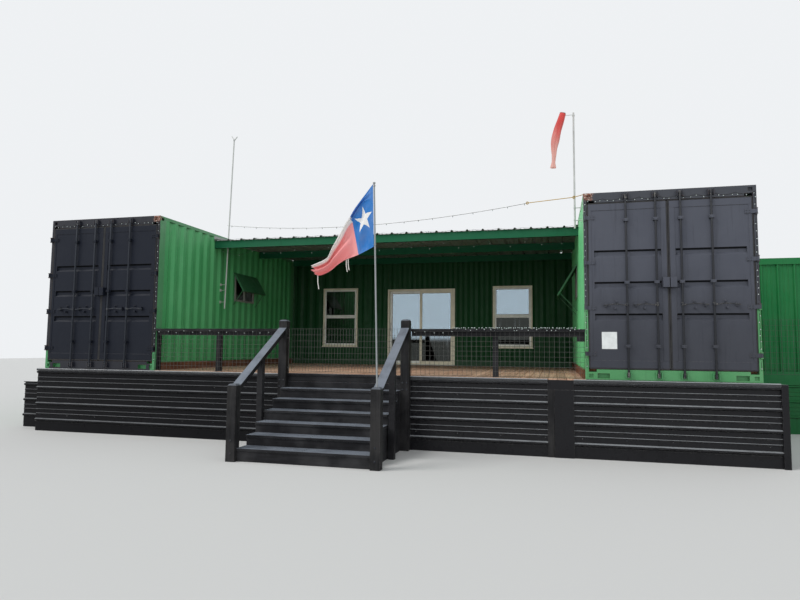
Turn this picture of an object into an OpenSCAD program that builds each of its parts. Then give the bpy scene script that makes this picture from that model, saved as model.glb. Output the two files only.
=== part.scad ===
// Shipping container cabin: three containers in a U around a timber porch

/* [Containers] */
// Outside width of a container
box_w = 2438; // [2300:1:2950]
// Outside height of a container
box_h = 2896; // [2400:1:3480]
// Outside length of each side container
side_l = 6058; // [5000:1:7300]
// Outside length of the rear container
rear_l = 12192; // [10160:1:14640]
// Thickness of a lined wall, from its outer ridges to its lining
wall_t = 90; // [75:1:108]
// Height of the container bases above the ground
base_h = 1200; // [1000:1:1440]
// Clear width of the porch between the side containers
porch_w = 7620; // [6350:1:9150]

/* [Cargo doors] */
// Thickness of a door leaf
leaf_t = 50; // [44:1:60]
// Gap between a leaf and what frames it
leaf_gap = 7; // [5:1:9]
// Radius of a lock rod
rod_r = 16; // [13:1:19]
// Length of a lock rod handle
handle_l = 350; // [290:1:360]
// Radius of a hinge pin
pin_r = 10; // [8:1:12]

/* [Porch] */
// Number of stair risers from the ground to the deck
risers = 7; // [6:1:8]
// Depth of a stair tread from riser to riser
going = 280; // [240:1:336]
// Clear width between the stair newels
stair_w = 2030; // [1700:1:2400]
// Side of a square newel post
newel_w = 140; // [115:1:160]
// Height of the railing above the deck
rail_h = 768; // [640:1:920]
// Distance of the porch roof fascia behind the container fronts
roof_set = 1900; // [1600:1:2300]
// Height of the fascia top above the container bases
fascia_z = 2740; // [2300:1:2800]

/* [Openings] */
// Width of the patio door frame
patio_w = 1840; // [1540:1:2200]
// Height of the patio door frame
patio_h = 2040; // [1700:1:2150]
// Width of a window frame
window_w = 1010; // [850:1:1200]
// Height of a window frame
window_h = 1610; // [1350:1:1700]
// Width of a side hatch
hatch_w = 900; // [750:1:1080]

/* [Hidden] */

// Finishes
green = [0.14, 0.42, 0.26];
black = [0.12, 0.12, 0.13];
charcoal = [0.25, 0.25, 0.28];
timber = [0.62, 0.45, 0.30];
almond = [0.80, 0.77, 0.68];

// Container steelwork
post_x = 48;
post_y = 178;
casting = [162, post_y, 118];
top_rail = [60, 60];
low_rail = [48, 158];
header = [100, 156];
sill = [100, 155];
rib_pitch = 278;
rib_slope = 68;
rib_flat = 70;
rib_d = 36;
end_pitch = 250;
end_slope = 18;
end_flat = 104;
end_d = 46;
floor_t = 28;

// Pieces that only rest on each other stand this far apart
seat = 0.3;

// Steel walls, roofs and floors
wall_z = low_rail[1];
wall_h = box_h - top_rail[1] - low_rail[1];
side_run = side_l - 2 * post_y;
rear_run = rear_l - 2 * post_y;
roof_z = box_h - top_rail[1];
roof_t = 44;
floor_z = low_rail[1] - floor_t;

// Cargo doors: a leaf hangs on pins just in front of its corner post
pin_in = 16;
pin_y = -32;
leaf_z = sill[1] + leaf_gap;
leaf_h = box_h - header[1] - leaf_gap - leaf_z;
seam_gap = 12;
leaf_x = box_w / 2 + seam_gap / 2;
leaf_w = box_w - post_x - leaf_gap - leaf_x;
hinge_zs = [for (i = [0 : 3]) leaf_z + 230 + i * (leaf_h - 460) / 3];
hinge_h = 60;
lug_t = 12;
lug_gap = 4;
rod_y = -40;
rod_xs = [175, 600];
rod_end = 40;
cam_z = 45;
cam_h = 66;
keeper = [12, 50, 90];
keeper_x = 40;
keeper_over = 12;
bracket_zs = [for (i = [0 : 2]) leaf_z + 330 + i * (leaf_h - 640) / 2];
handle_z = 1140;
groove_h = 110;
groove_d = 33;
groove_zs = [for (i = [0 : 2]) leaf_z + 735 + i * 490];

// Porch
mid = -100;
half = porch_w / 2;
front_board = 38;
first_rise = 190;
top_rise = 235;
newel_x = stair_w / 2 + newel_w / 2;
deck_t = 28;
board_t = 38;
stair_y = -front_board - (risers - 1) * going;
newel_top = 920;
foot_top = -90;
rail_y = 50;
roof_slope = (box_h + 6 - fascia_z) / (side_l - roof_set);
fascia_h = 160;
roof_run = side_l + 100 - (roof_set - 40);
joist = [38, 184];
joist_n = 13;
pier_w = 400;

// Openings in the rear container's front wall, x from the porch centre
patio_x = mid;
left_window_x = -2388;
right_window_x = 2322;
window_top = 2090;
hatch_back = 3238;
hatch_y = side_l - hatch_back;
hatch_z = 1500;
hatch_h = 600;
hatch_trim = 40;
hatch_pane_w = (hatch_w - 3 * hatch_trim) / 2;
flap_over = 90;
flap_tilt = 31;
flap_t = 30;
left_flap = 480;
right_flap = 690;

// Frames of the windows and of the patio door
sash_w = 44;
trim_w = 45;
frame_y = 12;
frame_d = 78;
patio_trim = 50;
patio_inner_w = patio_w - 2 * patio_trim;
patio_inner_h = patio_h - 2 * patio_trim;
stile_w = 62;
panel_w = patio_inner_w / 2 + stile_w / 2;
panel_t = 30;
fixed_y = 8;
slide_y = 48;
run_gap = 5;
track_h = run_gap - seat;

// Skirting and the wing wall
skirt_over_left = 152;
skirt_over_right = 212;
sheet_pitch = 305;
sheet_d = 32;
sheet_t = 3;
low_rib = 6;
trim_out = 44;
trim_t = 12;
strip_t = 12;
skirt_top = base_h - 30;
skirt_foot = 165;
board_in = 180;
board_w = 390;
wing_l = 8 * sheet_pitch;
wing_y = 4130;
wing_top = base_h + 2370;
return_l = 700;
return_y = 400;
return_top = 894;
return_foot = 70;
rim_h = 270;
rim_t = 45;
wing_rim = base_h + 50;
wing_head = 130;
rebate = 20;
rail_stock = 89;

// Stairs and railing
nosing = 22;
riser_t = 20;
carriage_t = 38;
post_w = 89;
foot_rail = -105;
head_rail = 780;
wire = 4;
mesh_cell = [75, 75];
gate_cell = [51, 102];
trellis_cell = [102, 102];
end_block = [120, 100, 152];
rail_fall = (head_rail - foot_rail) / (-newel_w - stair_y - newel_w / 2);
mesh_h = rail_h - board_t - 12;
kick = [25, 140];
kick_from = rail_y + wire + end_block[1] + seat;
gate_x = mid - stair_w / 2 + 22;
gate_y = -newel_w / 2;
gate_z = 37;
gate_h = 730;
gate_w = stair_w - 44;
gate_rod = 7;

// Masts and the flag
mast_r = 15;
mast_in = 110;
mast_x = -half + mast_in;
mast_lean = 1.6;
mast_foot = 1280;
mast_y = ridge_y(13);
front_mast_y = ridge_y(19);
flag_r = 12;
flag_x = mid + newel_x;
flag_lean = 1.6;
flag_t = 200;
sock_arm = 137;
sock_lap = 20;

// The origin is the centre of the footprint, on the ground
x_min = -half - box_w - skirt_over_left - return_l;
x_max = half + box_w + wing_l + post_w;
y_min = stair_y - newel_w / 2;
y_max = side_l + box_w + trim_out;
mid_x = (x_min + x_max) / 2;
mid_y = (y_min + y_max) / 2;

module home() {
    translate([-mid_x, -mid_y, 0]) children();
}

module right_box() {
    home() translate([half, 0, base_h]) children();
}

module left_box() {
    home() mirror([1, 0, 0]) translate([half, 0, base_h]) children();
}

module rear_box() {
    home() translate([-rear_l / 2, side_l, base_h]) children();
}

// Extrudes an outline drawn in Y and Z along X
module along_x(length) {
    rotate([90, 0, 90]) linear_extrude(length) children();
}

// Extrudes an outline drawn in X and Z along Y
module along_y(length) {
    translate([0, length, 0]) rotate([90, 0, 0]) linear_extrude(length) children();
}

// Copies a child to the other half of a container's width
module both_halves() {
    children();
    translate([box_w, 0, 0]) mirror([1, 0, 0]) children();
}

// A corner casting with its three slots, for the corner at the origin
module corner_casting(size) {
    slot_d = 30;
    difference() {
        cube(size);
        translate([size[0] / 2 - 60, size[1] / 2 - 30, -1]) cube([120, 60, slot_d]);
        translate([size[0] / 2 - 32, -1, size[2] / 2 - 28]) cube([64, slot_d, 56]);
        translate([-1, size[1] / 2 - 40, size[2] / 2 - 25]) cube([slot_d, 80, 50]);
    }
}

// The eight castings, four posts and eight rails of a box
module box_frame(size, post, corner, rail_x_top, rail_x_low, rail_y_top, rail_y_low) {
    for (ix = [0, 1], iy = [0, 1]) {
        translate([ix * size[0], iy * size[1], 0]) mirror([ix, 0, 0]) mirror([0, iy, 0]) {
            corner_casting(corner);
            translate([0, 0, size[2]]) mirror([0, 0, 1]) corner_casting(corner);
            translate([0, 0, corner[2]]) cube([post[0], post[1], size[2] - 2 * corner[2]]);
        }
    }
    inner_x = size[0] - 2 * corner[0];
    inner_y = size[1] - 2 * corner[1];
    for (iy = [0, 1]) translate([corner[0], iy * size[1], 0]) mirror([0, iy, 0]) {
        cube([inner_x, rail_x_low[0], rail_x_low[1]]);
        translate([0, 0, size[2] - rail_x_top[1]]) cube([inner_x, rail_x_top[0], rail_x_top[1]]);
    }
    for (ix = [0, 1]) translate([ix * size[0], corner[1], 0]) mirror([ix, 0, 0]) {
        cube([rail_y_low[0], inner_y, rail_y_low[1]]);
        translate([0, 0, size[2] - rail_y_top[1]]) cube([rail_y_top[0], inner_y, rail_y_top[1]]);
    }
}

// Two lugs on the sill or the header that a rod's cam sits between
module cam_keeper() {
    for (side = [-1, 1])
        translate([side * keeper_x - lug_t / 2, -keeper[1], 0]) cube([lug_t, keeper[1], keeper[2]]);
}

// All the lugs on the cargo door end of one side container
module side_keepers() {
    both_halves()
        for (rx = rod_xs, z = [cam_z - keeper_over, box_h - cam_z - keeper[2] + keeper_over])
            translate([box_w / 2 + rx, 0, z]) cam_keeper();
}

module door_keepers() {
    color(green) {
        left_box() side_keepers();
        right_box() side_keepers();
    }
}

// Two lugs and a pin on a corner post, for one hinge
module hinge_lugs() {
    reach = pin_in - pin_y;
    for (side = [-1, 1]) {
        z = side > 0 ? hinge_h / 2 + lug_gap : -hinge_h / 2 - lug_gap - lug_t;
        translate([box_w - 2 * pin_in, -reach, z]) cube([2 * pin_in, reach, lug_t]);
    }
    pin_l = hinge_h + 2 * (lug_gap + lug_t) + 8;
    translate([box_w - pin_in, pin_y, -pin_l / 2]) cylinder(r = pin_r, h = pin_l, $fn = 32);
}

// Frame of a side container: the cargo door end is at y = 0
module side_frame() {
    slot_x = 135;
    slot_w = 175;
    difference() {
        box_frame([box_w, side_l, box_h], [post_x, post_y], casting, header, sill, top_rail, low_rail);
        both_halves() translate([slot_x + 40, -1, 22]) cube([slot_w, 61, 74]);
    }
    both_halves() {
        for (z = hinge_zs) translate([0, 0, z]) hinge_lugs();
    }
}

module left_frame() {
    color(green) left_box() side_frame();
}

module right_frame() {
    color(green) right_box() side_frame();
}

// Frame of the rear container, its lower rail cut away at the patio door
module rear_frame() {
    color(green) difference() {
        rear_box() box_frame([rear_l, box_w, box_h], [post_y, post_x], [casting[1], casting[0], casting[2]],
                             top_rail, low_rail, header, sill);
        home() translate([patio_x - patio_w / 2, side_l - 1, base_h - 1])
            cube([patio_w, low_rail[0] + 2, low_rail[1] + 2]);
    }
}

// Plan outline of a corrugated wall: ridges on y = 0, grooves of depth d, lining at y = wall_t
function ribs(length, pitch, slope, flat, d) =
    let (n = floor((length - pitch / 2) / pitch))
    let (edge = (length - n * pitch) / 2 + pitch / 2 - slope - flat / 2)
    [for (i = [0 : n - 1]) let (x = edge + i * pitch)
        each [[x, 0], [x + slope, d], [x + slope + flat, d], [x + 2 * slope + flat, 0]]];

// Place of a ridge's middle along a wall, counted from its first groove
function ridge_at(k, length, pitch, slope, flat) =
    let (n = floor((length - pitch / 2) / pitch))
    let (edge = (length - n * pitch) / 2 + pitch / 2 - slope - flat / 2)
    edge + k * pitch - (pitch - 2 * slope - flat) / 2;

module corrugated(length, height, pitch, slope, flat, d) {
    back = [[length, 0], [length, wall_t], [0, wall_t]];
    linear_extrude(height) polygon(concat([[0, 0]], ribs(length, pitch, slope, flat, d), back));
}

// A long wall of a side container, its ribbed face on x = 0
module side_wall() {
    translate([0, side_l - post_y, wall_z]) rotate([0, 0, -90])
        corrugated(side_run, wall_h, rib_pitch, rib_slope, rib_flat, rib_d);
}

// The porch wall has a hatch opening
module porch_wall() {
    difference() {
        side_wall();
        translate([-1, hatch_y, hatch_z]) cube([wall_t + 2, hatch_w, hatch_h]);
    }
}

module left_outer_wall() {
    color(green) left_box() translate([box_w, 0, 0]) mirror([1, 0, 0]) side_wall();
}

module right_outer_wall() {
    color(green) right_box() translate([box_w, 0, 0]) mirror([1, 0, 0]) side_wall();
}

module left_porch_wall() {
    color(green) left_box() porch_wall();
}

module right_porch_wall() {
    color(green) right_box() porch_wall();
}

// The blind end of a side container, its ribbed face on y = side_l
module blind_end() {
    run = box_w - 2 * post_x;
    translate([post_x + run, side_l, sill[1]]) rotate([0, 0, 180])
        corrugated(run, box_h - header[1] - sill[1], end_pitch, end_slope, end_flat, end_d);
}

module side_end_walls() {
    color(green) {
        left_box() blind_end();
        right_box() blind_end();
    }
}

// The whole front wall of the rear container before it is divided, in the porch's x
module rear_front() {
    difference() {
        translate([-rear_run / 2, side_l, base_h + wall_z])
            corrugated(rear_run, wall_h, rib_pitch, rib_slope, rib_flat, rib_d);
        translate([patio_x - patio_w / 2, side_l - 1, base_h])
            cube([patio_w, wall_t + 2, patio_h]);
        for (x = [left_window_x, right_window_x])
            translate([x - window_w / 2, side_l - 1, base_h + window_top - window_h])
                cube([window_w, wall_t + 2, window_h]);
    }
}

// Cuts a stretch of the rear front wall, from x0 to x1 and from z0 to z1
module rear_front_part(x0, x1, z0, z1) {
    intersection() {
        rear_front();
        translate([x0, side_l - 1, z0]) cube([x1 - x0, wall_t + 2, z1 - z0]);
    }
}

module rear_front_wall_left() {
    color(green) home()
        rear_front_part(-rear_l / 2, patio_x - patio_w / 2, base_h, base_h + box_h);
}

module rear_front_wall_right() {
    color(green) home()
        rear_front_part(patio_x + patio_w / 2, rear_l / 2, base_h, base_h + box_h);
}

module rear_lintel() {
    color(green) home()
        rear_front_part(patio_x - patio_w / 2, patio_x + patio_w / 2, base_h + patio_h, base_h + box_h);
}

module rear_back_wall() {
    color(green) rear_box() translate([rear_l - post_y, box_w, wall_z]) rotate([0, 0, 180])
        corrugated(rear_run, wall_h, rib_pitch, rib_slope, rib_flat, rib_d);
}

// One end of the rear container, its ribbed face on x = 0
module rear_end() {
    run = box_w - 2 * post_x;
    translate([0, post_x + run, sill[1]]) rotate([0, 0, -90])
        corrugated(run, box_h - header[1] - sill[1], end_pitch, end_slope, end_flat, end_d);
}

module rear_end_walls() {
    color(green) rear_box() {
        rear_end();
        translate([rear_l, 0, 0]) mirror([1, 0, 0]) rear_end();
    }
}

// A ceiling board with the pressed ribs of a container roof across it, cut out at the castings
module roof_panel(length, width, notch) {
    rib = 209;
    n = floor((length - 80) / rib);
    edge = (length - n * rib) / 2;
    grooves = [for (i = [0 : n - 1]) let (x = edge + i * rib)
        each [[x + 20, roof_t], [x + 50, roof_t - 20], [x + 140, roof_t - 20], [x + 170, roof_t]]];
    difference() {
        along_y(width) polygon(concat([[0, 0], [0, roof_t]], grooves, [[length, roof_t], [length, 0]]));
        for (ix = [0, 1], iy = [0, 1])
            translate([ix * (length - notch[0]) - 1, iy * (width - notch[1]) - 1, -1])
                cube([notch[0] + 2, notch[1] + 2, roof_t + 2]);
    }
}

module container_roofs() {
    notch = [casting[1] - header[0], casting[0] - top_rail[0]];
    color(green) {
        for (side = [-1, 1]) {
            home() translate([side * (half + box_w / 2), 0, base_h + roof_z])
                translate([box_w / 2 - top_rail[0], header[0], 0]) rotate([0, 0, 90])
                    roof_panel(side_l - 2 * header[0], box_w - 2 * top_rail[0], notch);
        }
        rear_box() translate([header[0], top_rail[0], roof_z])
            roof_panel(rear_l - 2 * header[0], box_w - 2 * top_rail[0], notch);
    }
}

module container_floors() {
    color(timber) {
        for (side = [-1, 1]) {
            home()
            translate([side * (half + box_w / 2) - box_w / 2 + low_rail[0], sill[0], base_h + floor_z])
                cube([box_w - 2 * low_rail[0], side_l - 2 * sill[0], floor_t]);
        }
        difference() {
            rear_box() translate([sill[0], low_rail[0], floor_z])
                cube([rear_l - 2 * sill[0], box_w - 2 * low_rail[0], floor_t]);
            home() translate([patio_x - patio_w / 2, side_l, base_h + floor_z - 1])
                cube([patio_w, frame_d + 12, floor_t + 2]);
        }
    }
}

// Outline of a hinge blade and its knuckle in plan
module blade() {
    root = box_w - post_x - leaf_gap;
    difference() {
        union() {
            linear_extrude(hinge_h)
                polygon([[root - 110, 0], [root - 110, -9], [root - 8, -12],
                         [box_w - pin_in - 8, pin_y - 10], [box_w - pin_in, pin_y + 12], [root, 0]]);
            translate([box_w - pin_in, pin_y, 0]) cylinder(r = pin_r + 6, h = hinge_h, $fn = 32);
        }
        translate([box_w - pin_in, pin_y, -1]) cylinder(r = pin_r + 0.3, h = hinge_h + 2, $fn = 32);
    }
}

// A strap block that holds a lock rod to its leaf
module rod_bracket() {
    difference() {
        translate([-34, rod_y - rod_r - 6, 0]) cube([68, rod_r + 6 - rod_y, 44]);
        translate([0, rod_y, -1]) cylinder(r = rod_r + 0.5, h = 46, $fn = 32);
    }
}

// The leaf that hangs on the outer post, with its grooves, blades and brackets
module leaf() {
    margin = 95;
    groove = [[-1, -1], [0, 0], [groove_d, 38],
              [groove_d, groove_h - 26], [0, groove_h], [-1, groove_h + 1]];
    difference() {
        translate([leaf_x, 0, leaf_z]) cube([leaf_w, leaf_t, leaf_h]);
        for (z = groove_zs) translate([leaf_x + margin, 0, z]) along_x(leaf_w - 2 * margin) polygon(groove);
    }
    for (z = hinge_zs) translate([0, 0, z - hinge_h / 2]) blade();
    for (rx = rod_xs, z = bracket_zs) translate([box_w / 2 + rx, 0, z]) rod_bracket();
    for (rx = rod_xs) translate([box_w / 2 + rx + 290, -50, handle_z - 30]) cube([36, 50, 60]);
    translate([leaf_x, -90, 1395]) cube([90, 90, 150]);
}

// The other leaf of the same pair
module mirrored_leaf() {
    translate([box_w, 0, 0]) mirror([1, 0, 0]) leaf();
}

// A lock rod on the outer leaf, rx from the middle of the door
module lock_rod(rx) {
    translate([box_w / 2 + rx, rod_y, 0]) {
        translate([0, 0, rod_end]) cylinder(r = rod_r, h = box_h - 2 * rod_end, $fn = 32);
        for (z = [cam_z, box_h - cam_z - cam_h]) translate([-15, -rod_r, z]) cube([30, rod_r + 22, cam_h]);
        translate([0, 0, handle_z - 22]) cylinder(r = rod_r + 9, h = 44, $fn = 32);
        translate([0, -27, handle_z - 16]) cube([handle_l, 11, 32]);
    }
}

module mirrored_rod(rx) {
    translate([box_w, 0, 0]) mirror([1, 0, 0]) lock_rod(rx);
}

module left_outer_leaf() {
    color(charcoal) left_box() leaf();
}

module left_inner_leaf() {
    color(charcoal) left_box() mirrored_leaf();
}

module right_outer_leaf() {
    color(charcoal) right_box() leaf();
}

module right_inner_leaf() {
    color(charcoal) right_box() mirrored_leaf();
}

module left_rod_1() {
    color(charcoal) left_box() lock_rod(rod_xs[1]);
}

module left_rod_2() {
    color(charcoal) left_box() lock_rod(rod_xs[0]);
}

module left_rod_3() {
    color(charcoal) left_box() mirrored_rod(rod_xs[0]);
}

module left_rod_4() {
    color(charcoal) left_box() mirrored_rod(rod_xs[1]);
}

module right_rod_1() {
    color(charcoal) right_box() mirrored_rod(rod_xs[1]);
}

module right_rod_2() {
    color(charcoal) right_box() mirrored_rod(rod_xs[0]);
}

module right_rod_3() {
    color(charcoal) right_box() lock_rod(rod_xs[0]);
}

module right_rod_4() {
    color(charcoal) right_box() lock_rod(rod_xs[1]);
}

// A rectangular frame in the plane of x and z, with members of one width
module ring(width, height, member, depth) {
    difference() {
        cube([width, depth, height]);
        translate([member, -1, member]) cube([width - 2 * member, depth + 2, height - 2 * member]);
    }
}

// A single hung window: trim frame, two sashes and the meeting rail
module window() {
    translate([-window_w / 2, -frame_y, 0]) ring(window_w, window_h, trim_w, frame_d);
    inner_w = window_w - 2 * trim_w;
    inner_h = window_h - 2 * trim_w;
    translate([-inner_w / 2, 14, trim_w]) ring(inner_w, inner_h / 2 + 20, sash_w, 26);
    translate([-inner_w / 2, 14 - frame_y, trim_w + inner_h / 2 + 20])
        ring(inner_w, inner_h / 2 - 20, sash_w, 26);
}

module window_frames() {
    color(almond) home()
        for (x = [left_window_x, right_window_x])
            translate([x, side_l, base_h + window_top - window_h]) window();
}

// Panes of a window, inside its sashes
module window_panes() {
    pane_w = window_w - 2 * trim_w - 2 * sash_w;
    inner_h = window_h - 2 * trim_w;
    translate([-pane_w / 2, 24, trim_w + sash_w]) cube([pane_w, 6, inner_h / 2 + 20 - 2 * sash_w]);
    translate([-pane_w / 2, 12, trim_w + inner_h / 2 + 20 + sash_w])
        cube([pane_w, 6, inner_h / 2 - 20 - 2 * sash_w]);
}

module patio_panel() {
    ring(panel_w, patio_inner_h - 2 * run_gap, stile_w, panel_t);
}

// Outer frame of the patio door with its fixed right-hand panel
module patio_frame() {
    color(almond) home() translate([patio_x - patio_w / 2, side_l - frame_y, base_h]) {
        ring(patio_w, patio_h, patio_trim, frame_d + frame_y + 6);
        translate([patio_trim + patio_inner_w - panel_w, fixed_y, patio_trim])
            ring(panel_w, patio_inner_h, stile_w, panel_t);
        for (z = [patio_trim, patio_h - patio_trim - track_h])
            translate([patio_trim, slide_y + panel_t / 2 - 4, z]) cube([patio_inner_w, 8, track_h]);
    }
}

// Sliding left-hand panel
module patio_slider() {
    color(almond) home()
        translate([patio_x - patio_w / 2 + patio_trim + 6, side_l - frame_y + slide_y,
                   base_h + patio_trim + run_gap]) {
            patio_panel();
            translate([12, -3, 850]) cube([26, 3, 240]);
        }
}

module patio_slider_glass() {
    color([0.6, 0.75, 0.8, 0.4]) home()
        translate([patio_x - patio_w / 2 + patio_trim + 6 + stile_w, side_l - frame_y + slide_y + 12,
                   base_h + patio_trim + run_gap + stile_w])
            cube([panel_w - 2 * stile_w, 6, patio_inner_h - 2 * run_gap - 2 * stile_w]);
}

// Fixed glass of the windows, the patio door and the hatches
module window_glass() {
    color([0.6, 0.75, 0.8, 0.4]) {
        home() for (x = [left_window_x, right_window_x])
            translate([x, side_l, base_h + window_top - window_h]) window_panes();
        home() translate([patio_x - patio_w / 2 + patio_trim + patio_inner_w - panel_w + stile_w,
                          side_l - frame_y + fixed_y + 12, base_h + patio_trim + stile_w])
            cube([panel_w - 2 * stile_w, 6, patio_inner_h - 2 * stile_w]);
        for (k = [0, 1]) {
            left_box() translate([24, 0, 0]) hatch_pane(k);
            right_box() translate([24, 0, 0]) hatch_pane(k);
        }
    }
}

module hatch_pane(k) {
    translate([0, hatch_y + hatch_trim + k * (hatch_pane_w + hatch_trim), hatch_z + hatch_trim])
        cube([6, hatch_pane_w, hatch_h - 2 * hatch_trim]);
}

// Window frame in a hatch opening, with a mullion
module hatch_frame() {
    difference() {
        translate([-8, hatch_y, hatch_z]) cube([wall_t + 8, hatch_w, hatch_h]);
        for (k = [0, 1])
            translate([-9, hatch_y + hatch_trim + k * (hatch_pane_w + hatch_trim), hatch_z + hatch_trim])
                cube([wall_t + 10, hatch_pane_w, hatch_h - 2 * hatch_trim]);
    }
}

module hatch_frames() {
    color("white") {
        left_box() hatch_frame();
        right_box() hatch_frame();
    }
}

// A propped flap of the given length on its hinge rail, with two stays
module hatch_flap(length) {
    flap_w = hatch_w + 2 * flap_over;
    hinge_z = hatch_z + hatch_h + 20;
    tip_x = -14 - length * sin(flap_tilt);
    tip_z = hinge_z - length * cos(flap_tilt);
    stay_x = tip_x + 0.1 * length * sin(flap_tilt);
    stay_z = tip_z + 0.1 * length * cos(flap_tilt);
    foot_z = tip_z - 300;
    stay_l = norm([stay_x, stay_z - foot_z]);
    translate([0, hatch_y - flap_over, 0]) {
        translate([-14, 0, hinge_z - 10]) cube([14, flap_w, 44]);
        translate([-14, 0, hinge_z]) rotate([0, flap_tilt, 0])
            translate([-flap_t, 0, -length]) cube([flap_t, flap_w, length]);
        for (y = [20, flap_w - 32])
            translate([0, y, foot_z]) rotate([0, -atan2(-stay_x, stay_z - foot_z), 0])
                translate([-12, 0, 0]) cube([12, 12, stay_l]);
    }
}

module hatch_flaps() {
    color(green) {
        left_box() hatch_flap(left_flap);
        right_box() hatch_flap(right_flap);
    }
}

module deck_boards() {
    color(timber) home() translate([-half, 0, base_h - deck_t]) cube([porch_w, side_l, deck_t]);
}

module deck_frame() {
    joist_z = base_h - deck_t - joist[1];
    color(timber) home() {
        for (i = [0 : joist_n - 1])
            translate([-half + i * (porch_w - joist[0]) / (joist_n - 1), joist[0] + seat, joist_z])
                cube([joist[0], side_l - 2 * joist[0] - 2 * seat, joist[1]]);
        for (y = [0, side_l - joist[0]])
            translate([-half, y, joist_z]) cube([porch_w, joist[0], joist[1]]);
        for (y = [1000, side_l - 1000])
            translate([-half, y - joist[0] / 2, joist_z - joist[1] - seat])
                cube([porch_w, joist[0], joist[1]]);
    }
}

module deck_posts() {
    color(timber) home()
        for (x = [-half + 500, 0, half - 500], y = [1000, side_l - 1000])
            translate([x - post_w / 2, y - post_w / 2, 0])
                cube([post_w, post_w, base_h - deck_t - 2 * joist[1] - seat]);
}

module kick_boards() {
    color([0.50, 0.28, 0.20]) home()
        for (side = [-1, 1])
            translate([side * half - (side > 0 ? kick[0] : 0), kick_from, base_h])
                cube([kick[0], side_l - kick_from - 20, kick[1]]);
}

module piers() {
    rear_xs = [for (i = [0 : 3]) -rear_l / 2 + pier_w / 2 + i * (rear_l - pier_w) / 3];
    color([0.45, 0.36, 0.31]) home() {
        for (side = [-1, 1], x = [pier_w / 2, box_w - pier_w / 2 - strip_t],
             y = [pier_w / 2 + strip_t, side_l / 2, side_l - pier_w / 2])
            translate([side * (half + x) - pier_w / 2, y - pier_w / 2, 0]) cube([pier_w, pier_w, base_h]);
        for (x = rear_xs, y = [side_l + pier_w / 2 + 20, side_l + box_w - pier_w / 2 - strip_t])
            translate([x - pier_w / 2, y - pier_w / 2, 0]) cube([pier_w, pier_w, base_h]);
    }
}

// Section of ribbed sheet: a high rib and two low ribs at each pitch, along s and out by t
function sheet_ribs(n, t) = [for (i = [0 : n - 1]) let (s = i * sheet_pitch) each [
    [s + 15, t], [s + 32, t + sheet_d], [s + 58, t + sheet_d], [s + 75, t],
    [s + 140, t], [s + 146, t + low_rib], [s + 162, t + low_rib], [s + 168, t],
    [s + 222, t], [s + 228, t + low_rib], [s + 244, t + low_rib], [s + 250, t]]];

// Outline of a ribbed sheet of any width, with a high rib near each edge
module sheet_section(width) {
    n = floor((width - 90) / sheet_pitch);
    last = n * sheet_pitch;
    top = sheet_ribs(n, sheet_t);
    low = sheet_ribs(n, 0);
    end_top = [[last + 15, sheet_t], [last + 32, sheet_t + sheet_d], [last + 58, sheet_t + sheet_d],
               [last + 75, sheet_t], [width, sheet_t]];
    end_low = [[width, 0], [last + 75, 0], [last + 58, sheet_d], [last + 32, sheet_d], [last + 15, 0]];
    polygon(concat([[0, sheet_t]], top, end_top, end_low,
                   [for (i = [len(low) - 1 : -1 : 0]) low[i]], [[0, 0]]));
}

// Skirting on the plane y = 0: a ribbed sheet, its top trim and a plain strip behind its foot
module skirt(length, top, bottom) {
    translate([0, 0, top]) along_x(length) mirror([1, 1, 0]) sheet_section(top - bottom);
    translate([0, -trim_out, top]) cube([length, trim_out, trim_t]);
    cube([length, strip_t, bottom + 60]);
}

module skirt_left() {
    x0 = -half - box_w - skirt_over_left;
    color(black) home() {
        translate([x0, 0, 0]) skirt(mid - newel_x - newel_w / 2 - x0, skirt_top, skirt_foot);
        translate([x0 - return_l, return_y, 0]) {
            skirt(return_l + skirt_over_left - sheet_d - sheet_t, return_top, return_foot);
            cube([post_w, post_w, return_top]);
        }
    }
}

// Board and post that close the gap between two panels of the right skirting
module joint_board() {
    width = board_w - 2 * seat;
    translate([seat, 0, 0]) {
        cube([width, strip_t, base_h - deck_t - joist[1] - seat]);
        translate([0, -22, skirt_top - 140]) cube([width, 22, 140 + trim_t]);
        translate([width - 290, -30, 0]) cube([290, 30, skirt_top - 140]);
    }
}

module skirt_right() {
    x0 = mid + newel_x + newel_w / 2;
    x1 = half - board_in - board_w;
    x2 = half - board_in;
    x3 = half + box_w + skirt_over_right;
    color(black) home() {
        translate([x0, 0, 0]) skirt(x1 - x0, skirt_top, skirt_foot);
        translate([x1, 0, 0]) joint_board();
        translate([x2, 0, 0]) skirt(x3 - x2, skirt_top, skirt_foot);
        translate([x3 + seat, -trim_out, 0]) cube([post_w - seat, post_w, skirt_top + trim_t]);
    }
}

// A run of skirting on the right side, from y0 to y1
module right_skirt_run(y0, y1) {
    translate([half + box_w, y0, 0]) rotate([0, 0, 90]) skirt(y1 - y0, skirt_top, skirt_foot);
}

// Skirting along both sides and the back, kept apart at the corners
module skirt_sides() {
    back_y = side_l + box_w;
    inset = strip_t + 2;
    color(black) home() {
        translate([-half - box_w, back_y - inset, 0]) rotate([0, 0, -90])
            skirt(back_y - 2 * inset, skirt_top, skirt_foot);
        right_skirt_run(inset, wing_y - rim_t);
        right_skirt_run(wing_y + post_w, back_y - inset);
        translate([half + box_w, back_y, 0]) rotate([0, 0, 180])
            skirt(2 * half + 2 * box_w, skirt_top, skirt_foot);
    }
}

// Height of a tread's top face above the ground; the first and the last riser are the tallest
function tread_z(k) = k <= 0 ? 0 : k >= risers ? base_h
    : first_rise + (k - 1) * (base_h - first_rise - top_rise) / (risers - 2);

// Foot of the riser below tread k + 1, which stands behind the front of tread k
function riser_foot(k) = k > 0 ? tread_z(k) - board_t : 0;

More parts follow.
